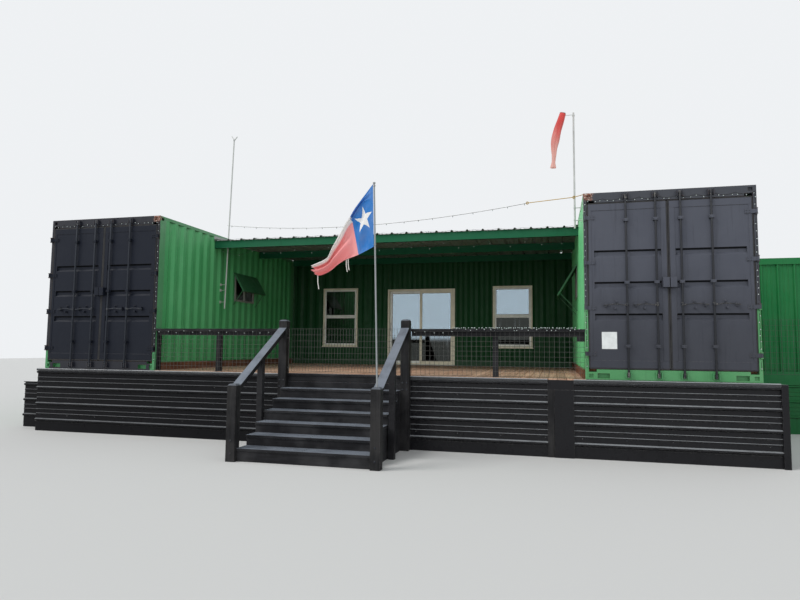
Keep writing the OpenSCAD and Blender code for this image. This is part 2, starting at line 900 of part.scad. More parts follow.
module stair_treads() {
    color(black) home()
        for (k = [1 : risers])
            translate([mid - stair_w / 2, stair_y + (k - 1) * going - nosing, tread_z(k) - board_t])
                cube([stair_w, nosing + (k < risers ? going : front_board), board_t]);
}

module stair_risers() {
    color(black) home()
        for (k = [0 : risers - 1])
            translate([mid - stair_w / 2, stair_y + k * going, riser_foot(k)])
                cube([stair_w, riser_t, tread_z(k + 1) - board_t - riser_foot(k)]);
}

// Saw-tooth carriages under the treads, the right one boarded down to the ground
module stair_carriages() {
    steps = [for (k = [0 : risers - 1]) let (y = stair_y + k * going + riser_t + seat)
        each [[y, riser_foot(k)], [y, tread_z(k + 1) - board_t]]];
    open_foot = [[0, base_h - board_t], [0, base_h - 420], [stair_y + 330, 0]];
    closed_foot = [[0, base_h - board_t], [0, 0]];
    color(black) home() {
        for (x = [-stair_w / 2, -carriage_t / 2])
            translate([mid + x, 0, 0]) along_x(carriage_t) polygon(concat(steps, open_foot));
        translate([mid + stair_w / 2 - carriage_t, 0, 0])
            along_x(carriage_t) polygon(concat(steps, closed_foot));
    }
}

// A square post with a worn, chamfered head
module post(side, height) {
    cap = side / 6;
    head = [[0, 0], [side, 0], [side, height - cap], [side - cap, height], [cap, height], [0, height - cap]];
    intersection() {
        along_x(side) polygon(head);
        along_y(side) polygon(head);
    }
}

module newels() {
    color(black) home()
        for (side = [-1, 1]) {
            translate([mid + side * newel_x - newel_w / 2, -newel_w, 0]) post(newel_w, base_h + newel_top);
            translate([mid + side * newel_x - newel_w / 2, stair_y - newel_w / 2, 0])
                post(newel_w, base_h + foot_top);
        }
}

// Height of the stair rail's top face above the ground at a place in y
function stair_rail(y) = base_h + foot_rail + (y - stair_y - newel_w / 2) * rail_fall;

// The sloped rail of one side of the stair: a flat cap on an upright board, with a middle post
module stair_handrail() {
    y0 = stair_y + newel_w / 2;
    y1 = -newel_w;
    mid_y0 = (y0 + y1) / 2 - post_w / 2;
    mid_y1 = mid_y0 + post_w;
    translate([-newel_w / 2, 0, 0]) along_x(newel_w)
        polygon([[y0, stair_rail(y0) - board_t], [y1, stair_rail(y1) - board_t], [y1, stair_rail(y1)],
                 [y0, stair_rail(y0)]]);
    translate([-board_t / 2, 0, 0]) along_x(board_t)
        polygon([[y0, stair_rail(y0) - 140], [y1, stair_rail(y1) - 140], [y1, stair_rail(y1) - board_t],
                 [y0, stair_rail(y0) - board_t]]);
    translate([-post_w / 2, 0, 0]) along_x(post_w)
        polygon([[mid_y0, 0], [mid_y1, 0], [mid_y1, stair_rail(mid_y1) - board_t / 2],
                 [mid_y0, stair_rail(mid_y0) - board_t / 2]]);
}

// One side of the deck railing from x0 to x1, with a middle post
module deck_railing(x0, x1) {
    mid_post = (x0 + x1) / 2 - post_w / 2;
    translate([x0, rail_y - 70, base_h + rail_h - board_t]) cube([x1 - x0, 140, board_t]);
    translate([x0, rail_y + wire, base_h + rail_h - 114]) cube([x1 - x0, board_t, 114 - board_t]);
    translate([mid_post, rail_y + wire, base_h]) cube([post_w, post_w, rail_h - board_t]);
}

module handrails() {
    color(black) home() {
        deck_railing(-half, mid - newel_x - newel_w / 2);
        translate([-half, rail_y + wire, base_h]) cube([board_t, post_w, rail_h - board_t]);
        deck_railing(mid + newel_x + newel_w / 2, half);
        translate([half - end_block[0], rail_y + wire, base_h + rail_h - board_t - end_block[2]])
            cube(end_block);
        for (side = [-1, 1]) translate([mid + side * newel_x, 0, 0]) stair_handrail();
    }
}

// Welded wire on the plane y = 0, its crossings fused
module mesh(width, height, cell) {
    nx = floor(width / cell[0]);
    nz = floor(height / cell[1]);
    cell_x = (width - wire) / nx;
    cell_z = (height - wire) / nz;
    along_y(wire) difference() {
        square([width, height]);
        for (i = [0 : nx - 1], k = [0 : nz - 1])
            translate([wire + i * cell_x, wire + k * cell_z]) square([cell_x - wire, cell_z - wire]);
    }
}

module mesh_left() {
    color("silver") home() translate([-half, rail_y, base_h + 12])
        mesh(half + mid - newel_x - newel_w / 2, mesh_h, mesh_cell);
}

module mesh_right() {
    x0 = mid + newel_x + newel_w / 2;
    color("silver") home() translate([x0, rail_y, base_h + 12]) mesh(half - x0, mesh_h, mesh_cell);
}

// Wire gate across the head of the stair: it turns on a rod beside the left newel
module wire_gate() {
    color("silver") home() translate([gate_x, gate_y, base_h + gate_z]) {
        difference() {
            translate([0, -wire / 2, 0]) mesh(gate_w, gate_h, gate_cell);
            translate([-1, -wire, -1]) cube([gate_rod, 2 * wire, gate_h + 2]);
        }
        cylinder(r = gate_rod, h = gate_h, $fn = 24);
    }
}

// Eyes on the left newel that hold the gate's rod
module gate_eyes() {
    color("silver") home() for (z = [50, 555])
        translate([gate_x, gate_y, base_h + gate_z + z]) difference() {
            union() {
                cylinder(r = gate_rod + 6, h = 30, $fn = 24);
                translate([-22, -10, 0]) cube([22, 20, 30]);
            }
            translate([0, 0, -1]) cylinder(r = gate_rod + 0.4, h = 32, $fn = 24);
        }
}

// Masts are strapped to ridges of the porch walls
function ridge_y(k) = side_l - post_y - ridge_at(k, side_run, rib_pitch, rib_slope, rib_flat);

// Ribbed roof sheet, cut out round the left mast
module porch_roof_sheet() {
    color([0.55, 0.57, 0.56]) difference() {
        home() translate([-half, roof_set - 40, base_h + fascia_z + 2 - 40 * roof_slope])
            rotate([atan(roof_slope), 0, 0]) along_y(roof_run) sheet_section(porch_w);
        at_left_mast()
            translate([0, 0, fascia_z - mast_foot - 200]) cylinder(r = mast_r + 12, h = 500, $fn = 24);
    }
}

// A beam under the roof sheet with its front face at y
module roof_beam(y, depth) {
    translate([-half, y, base_h + fascia_z + 2 + (y - roof_set) * roof_slope - fascia_h])
        cube([porch_w, depth, fascia_h - 0.01]);
}

module porch_roof_beams() {
    color(green) home() {
        roof_beam(roof_set, 50);
        roof_beam((roof_set + side_l) / 2, 50);
        roof_beam(side_l - 50, 50);
    }
}

// Ribbed sheets of the wing wall: upright above its rim board, level below it
module wing_wall() {
    color(green) home() translate([half + box_w, wing_y, 0]) {
        translate([0, 0, wing_rim - rebate])
            linear_extrude(wing_top - wing_head + rebate - wing_rim + rebate)
            mirror([0, 1, 0]) sheet_section(wing_l);
        translate([0, 0, wing_rim - rim_h + rebate]) along_x(wing_l) mirror([1, 1, 0])
            sheet_section(wing_rim - rim_h + rebate);
    }
}

// A board of the wing wall from z0 to z1, rebated at its edges for the sheets behind its lip
module rebated_board(z0, z1) {
    cut = sheet_d + sheet_t + 1;
    difference() {
        translate([0, -rim_t, z0]) cube([wing_l, rim_t, z1 - z0]);
        translate([-1, -cut, z0 - 1]) cube([wing_l + 2, cut + 1, rebate + 1]);
        if (z1 < wing_top) translate([-1, -cut, z1 - rebate]) cube([wing_l + 2, cut + 1, rebate + 1]);
    }
}

// Rim and head boards of the wing wall, with the rails and posts behind it
module wing_frame() {
    color(green) home() translate([half + box_w, wing_y, 0]) {
        translate([wing_l, -rim_t, 0]) cube([post_w, post_w + rim_t, wing_top]);
        cube([post_w, post_w, wing_top]);
        for (z = [300, base_h + 120, base_h + 1200, wing_top - rail_stock])
            translate([post_w, 0, z]) cube([wing_l - post_w, board_t, rail_stock]);
        translate([post_w, 0, wing_rim - rim_h]) cube([wing_l - post_w, board_t, rim_h]);
        rebated_board(wing_rim - rim_h, wing_rim);
        rebated_board(wing_top - wing_head, wing_top);
    }
}

module wing_trellis() {
    color("silver") home() translate([half + box_w + 10, wing_y - rim_t - wire, wing_rim - 60])
        mesh(wing_l - 20, 1110, trellis_cell);
}

// An upright pole with a cap, from z0 to z1
module pole(r, z0, z1) {
    translate([0, 0, z0]) cylinder(r = r, h = z1 - z0, $fn = 24);
    translate([0, 0, z1]) cylinder(r = r + 6, h = 20, $fn = 24);
}

// A strap that holds a pole to a wall on its +x side
module pole_strap(r, reach) {
    end = reach - seat;
    translate([0, -12, 0]) cube([end, 24, 8]);
    translate([end - 6, -30, -26]) cube([6, 60, 60]);
    cylinder(r = r + 5, h = 8, $fn = 24);
}

module at_left_mast() {
    home() translate([mast_x, mast_y, base_h + mast_foot]) rotate([0, mast_lean, 0]) children();
}

module at_flagpole() {
    home() translate([flag_x, stair_y, base_h + foot_top]) rotate([0, -flag_lean, 0]) children();
}

module poles() {
    color("white") {
        at_left_mast() {
            pole(mast_r, 0, 3800);
            for (side = [-1, 1]) translate([0, -8, 3806]) rotate([0, side * 38, 0]) cube([16, 16, 110]);
        }
        home() {
            for (z = [144, 406, 530], lean_x = z * tan(mast_lean))
                translate([mast_x + lean_x, mast_y, base_h + mast_foot + z])
                    mirror([1, 0, 0]) pole_strap(mast_r, mast_in + lean_x);
            translate([half - mast_in, front_mast_y, base_h]) {
                pole(mast_r, 2450, 4360);
                translate([-sock_arm, -4, 4380]) cube([sock_arm + 6, 8, 8]);
                translate([0, 0, 4380]) cylinder(r = mast_r, h = 40, $fn = 24);
                for (z = [2578, 2790]) translate([0, 0, z]) pole_strap(mast_r, mast_in);
            }
        }
        at_flagpole() pole(flag_r, flag_r * sin(flag_lean), 2850);
    }
}

// Outline of the drooping flag, out from its pole and up from the pole's foot
flag_edge = [[0, 2850], [200, 2610], [360, 2395], [480, 2195], [625, 1970], [790, 1805], [950, 1750],
             [830, 1570], [635, 1735], [450, 1810], [260, 1850], [0, 1950]];

// Stations of the limp windsock: out from its mast, up from its mast's foot, radius
sock_stations = [[158, 4368, 62], [255, 4180, 80], [360, 3880, 84], [375, 3700, 66], [335, 3450, 45]];

// One cone of the windsock between two stations, run on past both so that the bends close
module sock_cone(a, b) {
    dx = b[0] - a[0];
    dz = b[1] - a[1];
    translate([-a[0], 0, a[1]]) rotate([0, atan2(-dx, dz), 0]) translate([0, 0, -sock_lap])
        cylinder(r1 = a[2], r2 = b[2], h = norm([dx, dz]) + 2 * sock_lap, $fn = 24);
}

// Cloth of the flag and of the windsock, as plain solids of the form they hang in
module flags() {
    color("white") {
        at_flagpole() translate([-flag_r - seat, -flag_t / 2, 0])
            mirror([1, 0, 0]) along_y(flag_t) polygon(flag_edge);
        home() translate([half - mast_in, front_mast_y, base_h])
            for (i = [0 : len(sock_stations) - 2]) sock_cone(sock_stations[i], sock_stations[i + 1]);
    }
}

left_frame();
right_frame();
rear_frame();
left_outer_wall();
right_outer_wall();
left_porch_wall();
right_porch_wall();
side_end_walls();
rear_front_wall_left();
rear_front_wall_right();
rear_lintel();
rear_back_wall();
rear_end_walls();
container_roofs();
container_floors();
door_keepers();
left_outer_leaf();
left_inner_leaf();
right_outer_leaf();
right_inner_leaf();
left_rod_1();
left_rod_2();
left_rod_3();
left_rod_4();
right_rod_1();
right_rod_2();
right_rod_3();
right_rod_4();
window_frames();
window_glass();
patio_frame();
patio_slider();
patio_slider_glass();
hatch_frames();
hatch_flaps();
deck_boards();
deck_frame();
deck_posts();
kick_boards();
piers();
skirt_left();
skirt_right();
skirt_sides();
stair_treads();
stair_risers();
stair_carriages();
newels();
handrails();
mesh_left();
mesh_right();
wire_gate();
gate_eyes();
porch_roof_sheet();
porch_roof_beams();
wing_wall();
wing_frame();
wing_trellis();
poles();
flags();
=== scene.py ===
"""Container cabin round a timber porch: finishes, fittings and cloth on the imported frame.

Every place is in metres. The building's own measures start at the middle of the porch, on the
line of the container fronts and at the ground, and ``at`` turns them into places in the frame.
"""
import logging
import math
import random
from collections.abc import Callable, Iterable, Iterator, Sequence
from contextlib import contextmanager
from dataclasses import dataclass, field
from enum import Enum
from typing import ClassVar

import bmesh
import bpy
from mathutils import Matrix, Vector


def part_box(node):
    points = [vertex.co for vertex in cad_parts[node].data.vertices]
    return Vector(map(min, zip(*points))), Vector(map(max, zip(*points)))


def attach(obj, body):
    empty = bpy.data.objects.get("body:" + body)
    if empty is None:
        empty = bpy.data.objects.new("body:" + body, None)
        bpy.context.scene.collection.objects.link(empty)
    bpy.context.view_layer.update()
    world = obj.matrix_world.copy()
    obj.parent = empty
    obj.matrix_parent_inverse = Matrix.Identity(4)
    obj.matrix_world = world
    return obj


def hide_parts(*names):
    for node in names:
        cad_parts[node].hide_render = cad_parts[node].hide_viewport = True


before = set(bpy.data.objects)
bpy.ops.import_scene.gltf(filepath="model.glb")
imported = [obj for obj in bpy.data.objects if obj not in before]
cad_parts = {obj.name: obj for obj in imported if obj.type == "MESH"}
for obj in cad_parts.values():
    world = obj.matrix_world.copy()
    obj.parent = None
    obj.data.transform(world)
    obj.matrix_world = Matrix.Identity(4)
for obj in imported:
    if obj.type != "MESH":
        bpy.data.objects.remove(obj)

LOG = logging.getLogger("cabin")
HOME = Vector((-0.8385, -3.376, 0.0))
UP, DOWN, AHEAD, BACK = Vector((0, 0, 1)), Vector((0, 0, -1)), Vector((0, -1, 0)), Vector((0, 1, 0))

Pair = tuple[float, float]
Point = tuple[float, float, float]
Colour = tuple[float, float, float, float]
Piece = bpy.types.Object


class Side(Enum):
    """The side container that a piece belongs to, and which way it lies from the porch."""

    LEFT = -1
    RIGHT = 1

    @property
    def word(self) -> str:
        """The side's name as it stands in the names of pieces."""
        return self.name.lower()


@dataclass(frozen=True)
class Building:
    """The cabin's main sizes."""

    box_w: float = 2.438
    box_h: float = 2.896
    side_l: float = 6.058
    base: float = 1.2
    half: float = 3.81
    mid: float = -0.1
    newel_x: float = 1.085
    newel_w: float = 0.14
    stair_w: float = 2.03
    stair_y: float = -1.718
    rail_h: float = 0.768
    rail_y: float = 0.05
    roof_set: float = 1.9
    fascia_z: float = 2.74

    @property
    def roof_slope(self) -> float:
        """Rise of the porch roof for each metre towards the rear container."""
        return (self.box_h + 0.006 - self.fascia_z) / (self.side_l - self.roof_set)


CABIN = Building()


def at(x: float, y: float, z: float) -> Vector:
    """A place given from the porch's middle, the container fronts and the ground."""
    return Vector((x, y, z)) + HOME


def shade(red: int, green: int, blue: int) -> Colour:
    """A colour given in display numbers from 0 to 255, as the shaders take it."""
    return *(((c / 255 + 0.055) / 1.055) ** 2.4 if c > 10 else c / 3294.6 for c in (red, green, blue)), 1.0


def dimmed(colour: Colour, share: float) -> Colour:
    """A colour with only a share of its brightness."""
    return *(share * c for c in colour[:3]), 1.0


def eased(share: float) -> float:
    """A share from 0 to 1 that starts and ends slowly."""
    return share * share * (3 - 2 * share)


def drop_selection() -> None:
    """Leaves nothing selected and no object in edit mode."""
    if bpy.context.object and bpy.context.object.mode != "OBJECT":
        bpy.ops.object.mode_set(mode="OBJECT")
    bpy.ops.object.select_all(action="DESELECT")


def pick(piece: Piece) -> None:
    """Makes a piece the only selected one, and the active one.

    Args:
        piece: The piece to select.
    """
    drop_selection()
    piece.select_set(True)
    bpy.context.view_layer.objects.active = piece


def settle(name: str) -> Piece:
    """Names the primitive just added, and moves its place, turn and scale into its mesh.

    Args:
        name: The piece's name.

    Returns:
        The piece, ready to be shaped.
    """
    piece = bpy.context.object
    piece.name = piece.data.name = name
    bpy.ops.object.transform_apply(location=True, rotation=True, scale=True)
    return piece


def facing(*ways: Vector, least: float = 0.9) -> Callable[[bmesh.types.BMFace], bool]:
    """A test for faces that point one of the given ways, or for all faces where none is given."""
    return lambda face: not ways or any(face.normal.dot(way) > least for way in ways)


@contextmanager
def edit(piece: Piece, test: Callable[[object], bool], mode: str = "FACE") -> Iterator[None]:
    """Edit mode on a piece, with what passes a test selected in it.

    Args:
        piece: The piece to shape.
        test: The test for its faces or edges.
        mode: What is selected, FACE or EDGE.
    """
    pick(piece)
    bpy.ops.object.mode_set(mode="EDIT")
    bpy.ops.mesh.select_mode(type=mode)
    bpy.ops.mesh.select_all(action="DESELECT")
    mesh = bmesh.from_edit_mesh(piece.data)
    for part in mesh.faces if mode == "FACE" else mesh.edges:
        part.select_set(test(part))
    mesh.select_flush_mode()
    bmesh.update_edit_mesh(piece.data)
    yield
    bpy.ops.object.mode_set(mode="OBJECT")


def block(name: str, low: Vector, high: Vector) -> Piece:
    """A box between two corners, its place in its mesh.

    Args:
        name: The piece's name.
        low: One corner.
        high: The opposite corner.

    Returns:
        The box, ready to be shaped.
    """
    drop_selection()
    bpy.ops.mesh.primitive_cube_add(size=1.0, location=(low + high) / 2, scale=high - low)
    return settle(name)


def round_bar(name: str, foot: Vector, head: Vector, radius: float, sides: int = 12) -> Piece:
    """A round bar between two places.

    Args:
        name: The piece's name.
        foot: The middle of one end.
        head: The middle of the other end.
        radius: The bar's radius.
        sides: How many faces go round it.

    Returns:
        The bar, its place in its mesh.
    """
    drop_selection()
    along = head - foot
    bpy.ops.mesh.primitive_cylinder_add(
        vertices=sides, radius=radius, depth=along.length, location=(foot + head) / 2,
        rotation=along.to_track_quat("Z", "Y").to_euler())
    return settle(name)


def soften(piece: Piece, width: float, segments: int = 2, angle: float = 30.0) -> Piece:
    """Rounds the sharp edges of a piece with an applied bevel.

    Args:
        piece: The piece to round.
        width: The bevel's width.
        segments: How many faces go round an edge.
        angle: Edges sharper than this many degrees are rounded.

    Returns:
        The same piece.
    """
    pick(piece)
    bevel = piece.modifiers.new("bevel", "BEVEL")
    bevel.width, bevel.segments = width, segments
    bevel.limit_method, bevel.angle_limit = "ANGLE", math.radians(angle)
    bpy.ops.object.modifier_apply(modifier=bevel.name)
    return piece


def smooth(piece: Piece, angle: float = 35.0) -> Piece:
    """Shades a piece smooth, apart from its edges that are sharper than an angle in degrees.

    Args:
        piece: The piece to shade.
        angle: The angle beyond which an edge stays sharp.

    Returns:
        The same piece.
    """
    pick(piece)
    bpy.ops.object.shade_smooth_by_angle(angle=math.radians(angle))
    return piece


def join(name: str, parts: Sequence[Piece]) -> Piece:
    """Joins parts into one piece.

    Args:
        name: The joined piece's name.
        parts: The parts, the first of which is kept as the object.

    Returns:
        The joined piece.
    """
    pick(parts[0])
    for part in parts:
        part.select_set(True)
    if len(parts) > 1:
        bpy.ops.object.join()
    parts[0].name = parts[0].data.name = name
    return parts[0]


def repeat(name: str, pattern: Piece, places: Iterable[Matrix]) -> Piece:
    """Copies a modelled pattern to each place, each copy with its own mesh, and joins them.

    Args:
        name: The joined piece's name.
        pattern: The piece to copy, which is removed afterwards.
        places: Where each copy goes, as the matrix that moves the pattern there.

    Returns:
        The joined copies.
    """
    copies = []
    for place in places:
        twin = bpy.data.objects.new(name, pattern.data.copy())
        twin.data.transform(place)
        bpy.context.scene.collection.objects.link(twin)
        copies.append(twin)
    bpy.data.objects.remove(pattern)
    return join(name, copies)


def row(name: str, pattern: Piece, count: int, pitch: float) -> Piece:
    """Copies a pattern along x at an even pitch."""
    return repeat(name, pattern, [Matrix.Translation((i * pitch, 0, 0)) for i in range(count)])


def wire_run(name: str, path: Sequence[Vector], radius: float, sides: int = 6) -> Piece:
    """A wire or rope along a path, drawn as a curve and turned into a closed mesh tube.

    Args:
        name: The piece's name.
        path: The points it follows.
        radius: The wire's radius.
        sides: How many faces go round it.

    Returns:
        The tube, its place in its mesh.
    """
    drop_selection()
    bpy.ops.curve.primitive_bezier_curve_add()
    wire = bpy.context.object
    wire.name = name
    wire.data.splines.clear()
    line = wire.data.splines.new("POLY")
    line.points.add(len(path) - 1)
    for spot, point in zip(line.points, path):
        spot.co = (*point, 1.0)
    wire.data.bevel_depth = radius
    wire.data.bevel_resolution = max(sides // 2 - 2, 0)
    wire.data.use_fill_caps = True
    bpy.ops.object.convert(target="MESH")
    wire = bpy.context.object
    wire.data.name = name
    return smooth(wire, 50.0)


def fit_out(piece: Piece, finish: "Finish", body: str = "root", replaces: Sequence[str] = ()) -> Piece:
    """Gives a finished piece its material and the body it rides on, and logs it.

    Args:
        piece: The piece.
        finish: The finish it wears.
        body: The body it moves with.
        replaces: The model's nodes that it stands for.

    Returns:
        The same piece.
    """
    finish.put_on(piece)
    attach(piece, body)
    if replaces:
        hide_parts(*replaces)
    LOG.info("%s: %d faces on %s", piece.name, len(piece.data.polygons), body)
    return piece


def heads(name: str, places: Sequence[Vector], way: Vector, radius: float, height: float = 0.0) -> Piece:
    """Hexagon bolt heads with a rounded crown, or, where no height is given, screw heads on washers.

    Args:
        name: The piece's name.
        places: The middle of each head's foot.
        way: The way the heads point.
        radius: The radius of a head or of a screw's washer.
        height: How far a bolt's head stands proud.

    Returns:
        All the heads as one piece.
    """
    drop_selection()
    thick = height or 0.002
    bpy.ops.mesh.primitive_cylinder_add(vertices=6 if height else 8, radius=radius, depth=thick,
                                        location=(0, 0, thick / 2))
    head = settle(name)
    with edit(head, facing(UP)):
        if height:
            bpy.ops.mesh.inset(thickness=radius * 0.25, depth=height * 0.3)
        else:
            bpy.ops.mesh.inset(thickness=radius * 0.35)
            bpy.ops.mesh.extrude_region_move(TRANSFORM_OT_translate={"value": (0, 0, 0.003)})
    turn = way.to_track_quat("Z", "Y").to_matrix().to_4x4()
    return repeat(name, head, [Matrix.Translation(place) @ turn for place in places])


def ring_frame(name: str, low: Vector, high: Vector, member: float, step: float, rise: float = 0.0) -> Piece:
    """An upright rectangular frame with a raised moulding on its front.

    Args:
        name: The piece's name.
        low: One corner.
        high: The opposite corner; the frame lies in the plane of x and z.
        member: The width of its members.
        step: The width of the moulding's border.
        rise: How far the moulding's middle stands forward of its border.

    Returns:
        The frame.
    """
    ring = block(name, low, high)
    with edit(ring, facing(AHEAD, BACK)):
        bpy.ops.mesh.inset(thickness=member)
        bpy.ops.mesh.bridge_edge_loops()
    with edit(ring, facing(AHEAD)):
        bpy.ops.mesh.inset(thickness=step, depth=rise)
    return soften(ring, 0.0015, 1, 50.0)


def long_board(name: str, low: Vector, high: Vector, rounding: float = 0.004) -> Piece:
    """A sawn board with eased edges."""
    return soften(block(name, low, high), rounding)


def operator(operation: str, flipped: bool = False) -> Callable[["Value", object], "Value"]:
    """An operator that puts a Value and another value, which comes first if flipped, through a Math node."""
    return lambda one, other: one.nodes.math(operation, *((other, one) if flipped else (one, other)))


@dataclass(frozen=True)
class Value:
    """A node's output, whose sums, products and comparisons are Math nodes; ``|`` takes the larger."""

    nodes: "Nodes"
    socket: bpy.types.NodeSocket
    __add__, __sub__, __rsub__ = operator("ADD"), operator("SUBTRACT"), operator("SUBTRACT", flipped=True)
    __mul__, __truediv__ = operator("MULTIPLY"), operator("DIVIDE")
    __lt__, __gt__, __or__ = operator("LESS_THAN"), operator("GREATER_THAN"), operator("MAXIMUM")


class Nodes:
    """Short calls that add nodes to one tree and link them."""

    def __init__(self, tree: bpy.types.NodeTree) -> None:
        """Works on a tree."""
        self.tree = tree

    def add(self, kind: str, inputs: dict[str | int, object] | None = None, **settings: object) -> bpy.types.Node:
        """Adds a node.

        Args:
            kind: The node's type, without its ShaderNode prefix.
            inputs: Numbers, colours or outputs for its inputs, by name or number.
            settings: Its own settings.

        Returns:
            The node.
        """
        node = self.tree.nodes.new("ShaderNode" + kind)
        for key, value in settings.items():
            setattr(node, key, value)
        for key, value in (inputs or {}).items():
            self.feed(node.inputs[key], value)
        return node

    def feed(self, socket: bpy.types.NodeSocket, value: object) -> None:
        """Links an output to an input, or sets the input's own value.

        Args:
            socket: The input.
            value: An output, a number or a colour.
        """
        if isinstance(value, Value):
            self.tree.links.new(value.socket, socket)
        else:
            socket.default_value = value

    def out(self, kind: str, inputs: dict[str | int, object] | None = None, output: str | int = 0,
            **settings: object) -> Value:
        """Adds a node and gives one of its outputs."""
        return Value(self, self.add(kind, inputs, **settings).outputs[output])

    def math(self, operation: str, *values: object) -> Value:
        """The result of a Math node on one to three values."""
        return self.out("Math", dict(enumerate(values)), operation=operation)

    def band(self, value: Value, low: float, high: float, bottom: float = 0.0, top: float = 1.0) -> Value:
        """A value mapped smoothly from one range to another, and held inside it."""
        return self.out("MapRange", {0: value, 1: low, 2: high, 3: bottom, 4: top}, interpolation_type="SMOOTHSTEP")

    def noise(self, vector: Value, scale: float, detail: float = 3.0, rough: float = 0.55, twist: float = 0.0
              ) -> Value:
        """A noise pattern's value."""
        return self.out("TexNoise", {"Vector": vector, "Scale": scale, "Detail": detail, "Roughness": rough,
                                     "Distortion": twist}, "Fac")

    def blend(self, factor: Value, under: object, over: object) -> Value:
        """A mix of two colours."""
        return self.out("Mix", {0: factor, 6: under, 7: over}, 2, data_type="RGBA")

    def tone(self, tint: object, value: object, vivid: float = 1.0) -> Value:
        """A colour made brighter or darker, and more or less vivid."""
        return self.out("HueSaturation", {"Saturation": vivid, "Value": value, "Color": tint})

    def stretch(self, vector: Value, x: float, y: float, z: float) -> Value:
        """Coordinates multiplied by a number on each axis."""
        return self.out("VectorMath", {0: vector, 1: (x, y, z)}, operation="MULTIPLY")

    def axes(self, vector: Value) -> list[Value]:
        """The three measures of a place."""
        return [Value(self, part) for part in self.add("SeparateXYZ", {0: vector}).outputs]


Recipe = Callable[[Nodes, dict[str, Value]], dict[str, Value]]


@dataclass(frozen=True)
class Effect:
    """A node group that several finishes share, built when it is first used."""

    name: str
    recipe: Recipe
    inputs: tuple[tuple[str, float], ...] = ()

    def tree(self) -> bpy.types.NodeTree:
        """The group's node tree, with a Vector and its own numbers going in and masks and heights coming out.

        Returns:
            The tree.
        """
        made = bpy.data.node_groups.get(self.name)
        if made:
            return made
        made = bpy.data.node_groups.new(self.name, "ShaderNodeTree")
        made.interface.new_socket("Vector", in_out="INPUT", socket_type="NodeSocketVector")
        for name, number in self.inputs:
            made.interface.new_socket(name, in_out="INPUT", socket_type="NodeSocketFloat").default_value = number
        nodes = Nodes(made)
        entry = made.nodes.new("NodeGroupInput")
        found = self.recipe(nodes, {socket.name: Value(nodes, socket) for socket in entry.outputs if socket.name})
        for name in found:
            made.interface.new_socket(name, in_out="OUTPUT", socket_type="NodeSocketFloat")
        end = made.nodes.new("NodeGroupOutput")
        for name, value in found.items():
            nodes.feed(end.inputs[name], value)
        return made

    def use(self, nodes: Nodes, vector: Value, **numbers: float) -> list[Value]:
        """Places the group in a material, with its own numbers.

        Args:
            nodes: The material's nodes.
            vector: The coordinates that it reads.
            numbers: Its other inputs.

        Returns:
            The group's outputs.
        """
        node = nodes.tree.nodes.new("ShaderNodeGroup")
        node.node_tree = self.tree()
        for name, value in {"Vector": vector, **numbers}.items():
            nodes.feed(node.inputs[name], value)
        return [Value(nodes, socket) for socket in node.outputs]


def rubbed_edges(n: Nodes, into: dict[str, Value]) -> dict[str, Value]:
    """Marks where an edge has been rubbed bare, broken up by noise.

    Args:
        n: The group's nodes.
        into: Its inputs by name.

    Returns:
        Its outputs by name.
    """
    rounded = n.out("Bevel", {"Radius": into["Radius"]}, samples=4)
    flat = n.out("NewGeometry", output="True Normal")
    bend = 1.0 - n.out("VectorMath", {0: rounded, 1: flat}, "Value", operation="DOT_PRODUCT")
    broken = n.noise(into["Vector"], 26.0, 4.0, 0.65)
    return {"Mask": n.band(bend, 0.02, 0.12) * n.band(broken, 0.42, 0.6) * into["Amount"]}


def rain_streaks(n: Nodes, into: dict[str, Value]) -> dict[str, Value]:
    """Marks thin upright runs that rain leaves on a wall.

    Args:
        n: The group's nodes.
        into: Its inputs by name.

    Returns:
        Its outputs by name.
    """
    fine = n.noise(n.stretch(into["Vector"], 1.0, 1.0, 0.05), 34.0, 3.0, 0.6)
    broad = n.noise(n.stretch(into["Vector"], 1.0, 1.0, 0.18), 5.0, 3.0, 0.6)
    return {"Mask": n.band(fine, 0.5, 0.72) * n.band(broad, 0.4, 0.66) * into["Amount"]}


def blotches(n: Nodes, into: dict[str, Value]) -> dict[str, Value]:
    """Marks broad soft patches and finer cloudy ones."""
    return {"Mask": n.band(n.noise(into["Vector"], into["Scale"], 5.0, 0.6), 0.36, 0.66)}


def ground_splash(n: Nodes, into: dict[str, Value]) -> dict[str, Value]:
    """Marks a darkening below a height, stronger further down: dirt at the foot of walls, and painted shade on the
    lower part of the right cargo doors.

    Args:
        n: The group's nodes.
        into: Its inputs by name.

    Returns:
        Its outputs by name.
    """
    fade = (into["Top"] - n.axes(into["Vector"])[2]) / into["Depth"]
    ragged = n.noise(n.stretch(into["Vector"], 1.0, 1.0, 0.4), 6.0, 5.0, 0.65)
    return {"Mask": n.band(fade + (ragged - 0.5) * 0.5, 0.0, 1.0) * into["Amount"]}


def open_sky(n: Nodes, into: dict[str, Value]) -> dict[str, Value]:
    """Marks the faces that look up, which sun and rain bleach and which get a painted sky highlight, and those that
    look down, which get painted shade.

    Args:
        n: The group's nodes.
        into: Its inputs by name.

    Returns:
        Its outputs by name.
    """
    up = n.axes(n.out("NewGeometry", output="Normal"))[2]
    uneven = n.noise(into["Vector"], 4.0, 5.0, 0.65)
    top = n.band(up, 0.3, 0.75) * n.band(uneven, 0.25, 0.6, 0.6, 1.0)
    return {"Mask": top * into["Amount"], "Under": n.band(up, -0.3, -0.6)}


def wood_grain(n: Nodes, into: dict[str, Value]) -> dict[str, Value]:
    """Long grain lines along the axis whose coordinates come in already shortened.

    Args:
        n: The group's nodes.
        into: Its inputs by name.

    Returns:
        Its outputs by name.
    """
    lines = n.noise(into["Vector"], 46.0, 6.0, 0.62, 0.25)
    rings = n.noise(into["Vector"], 11.0, 3.0, 0.5, 0.8)
    both = lines * 0.6 + rings * 0.4
    return {"Mask": n.band(both, 0.38, 0.62), "Height": both}


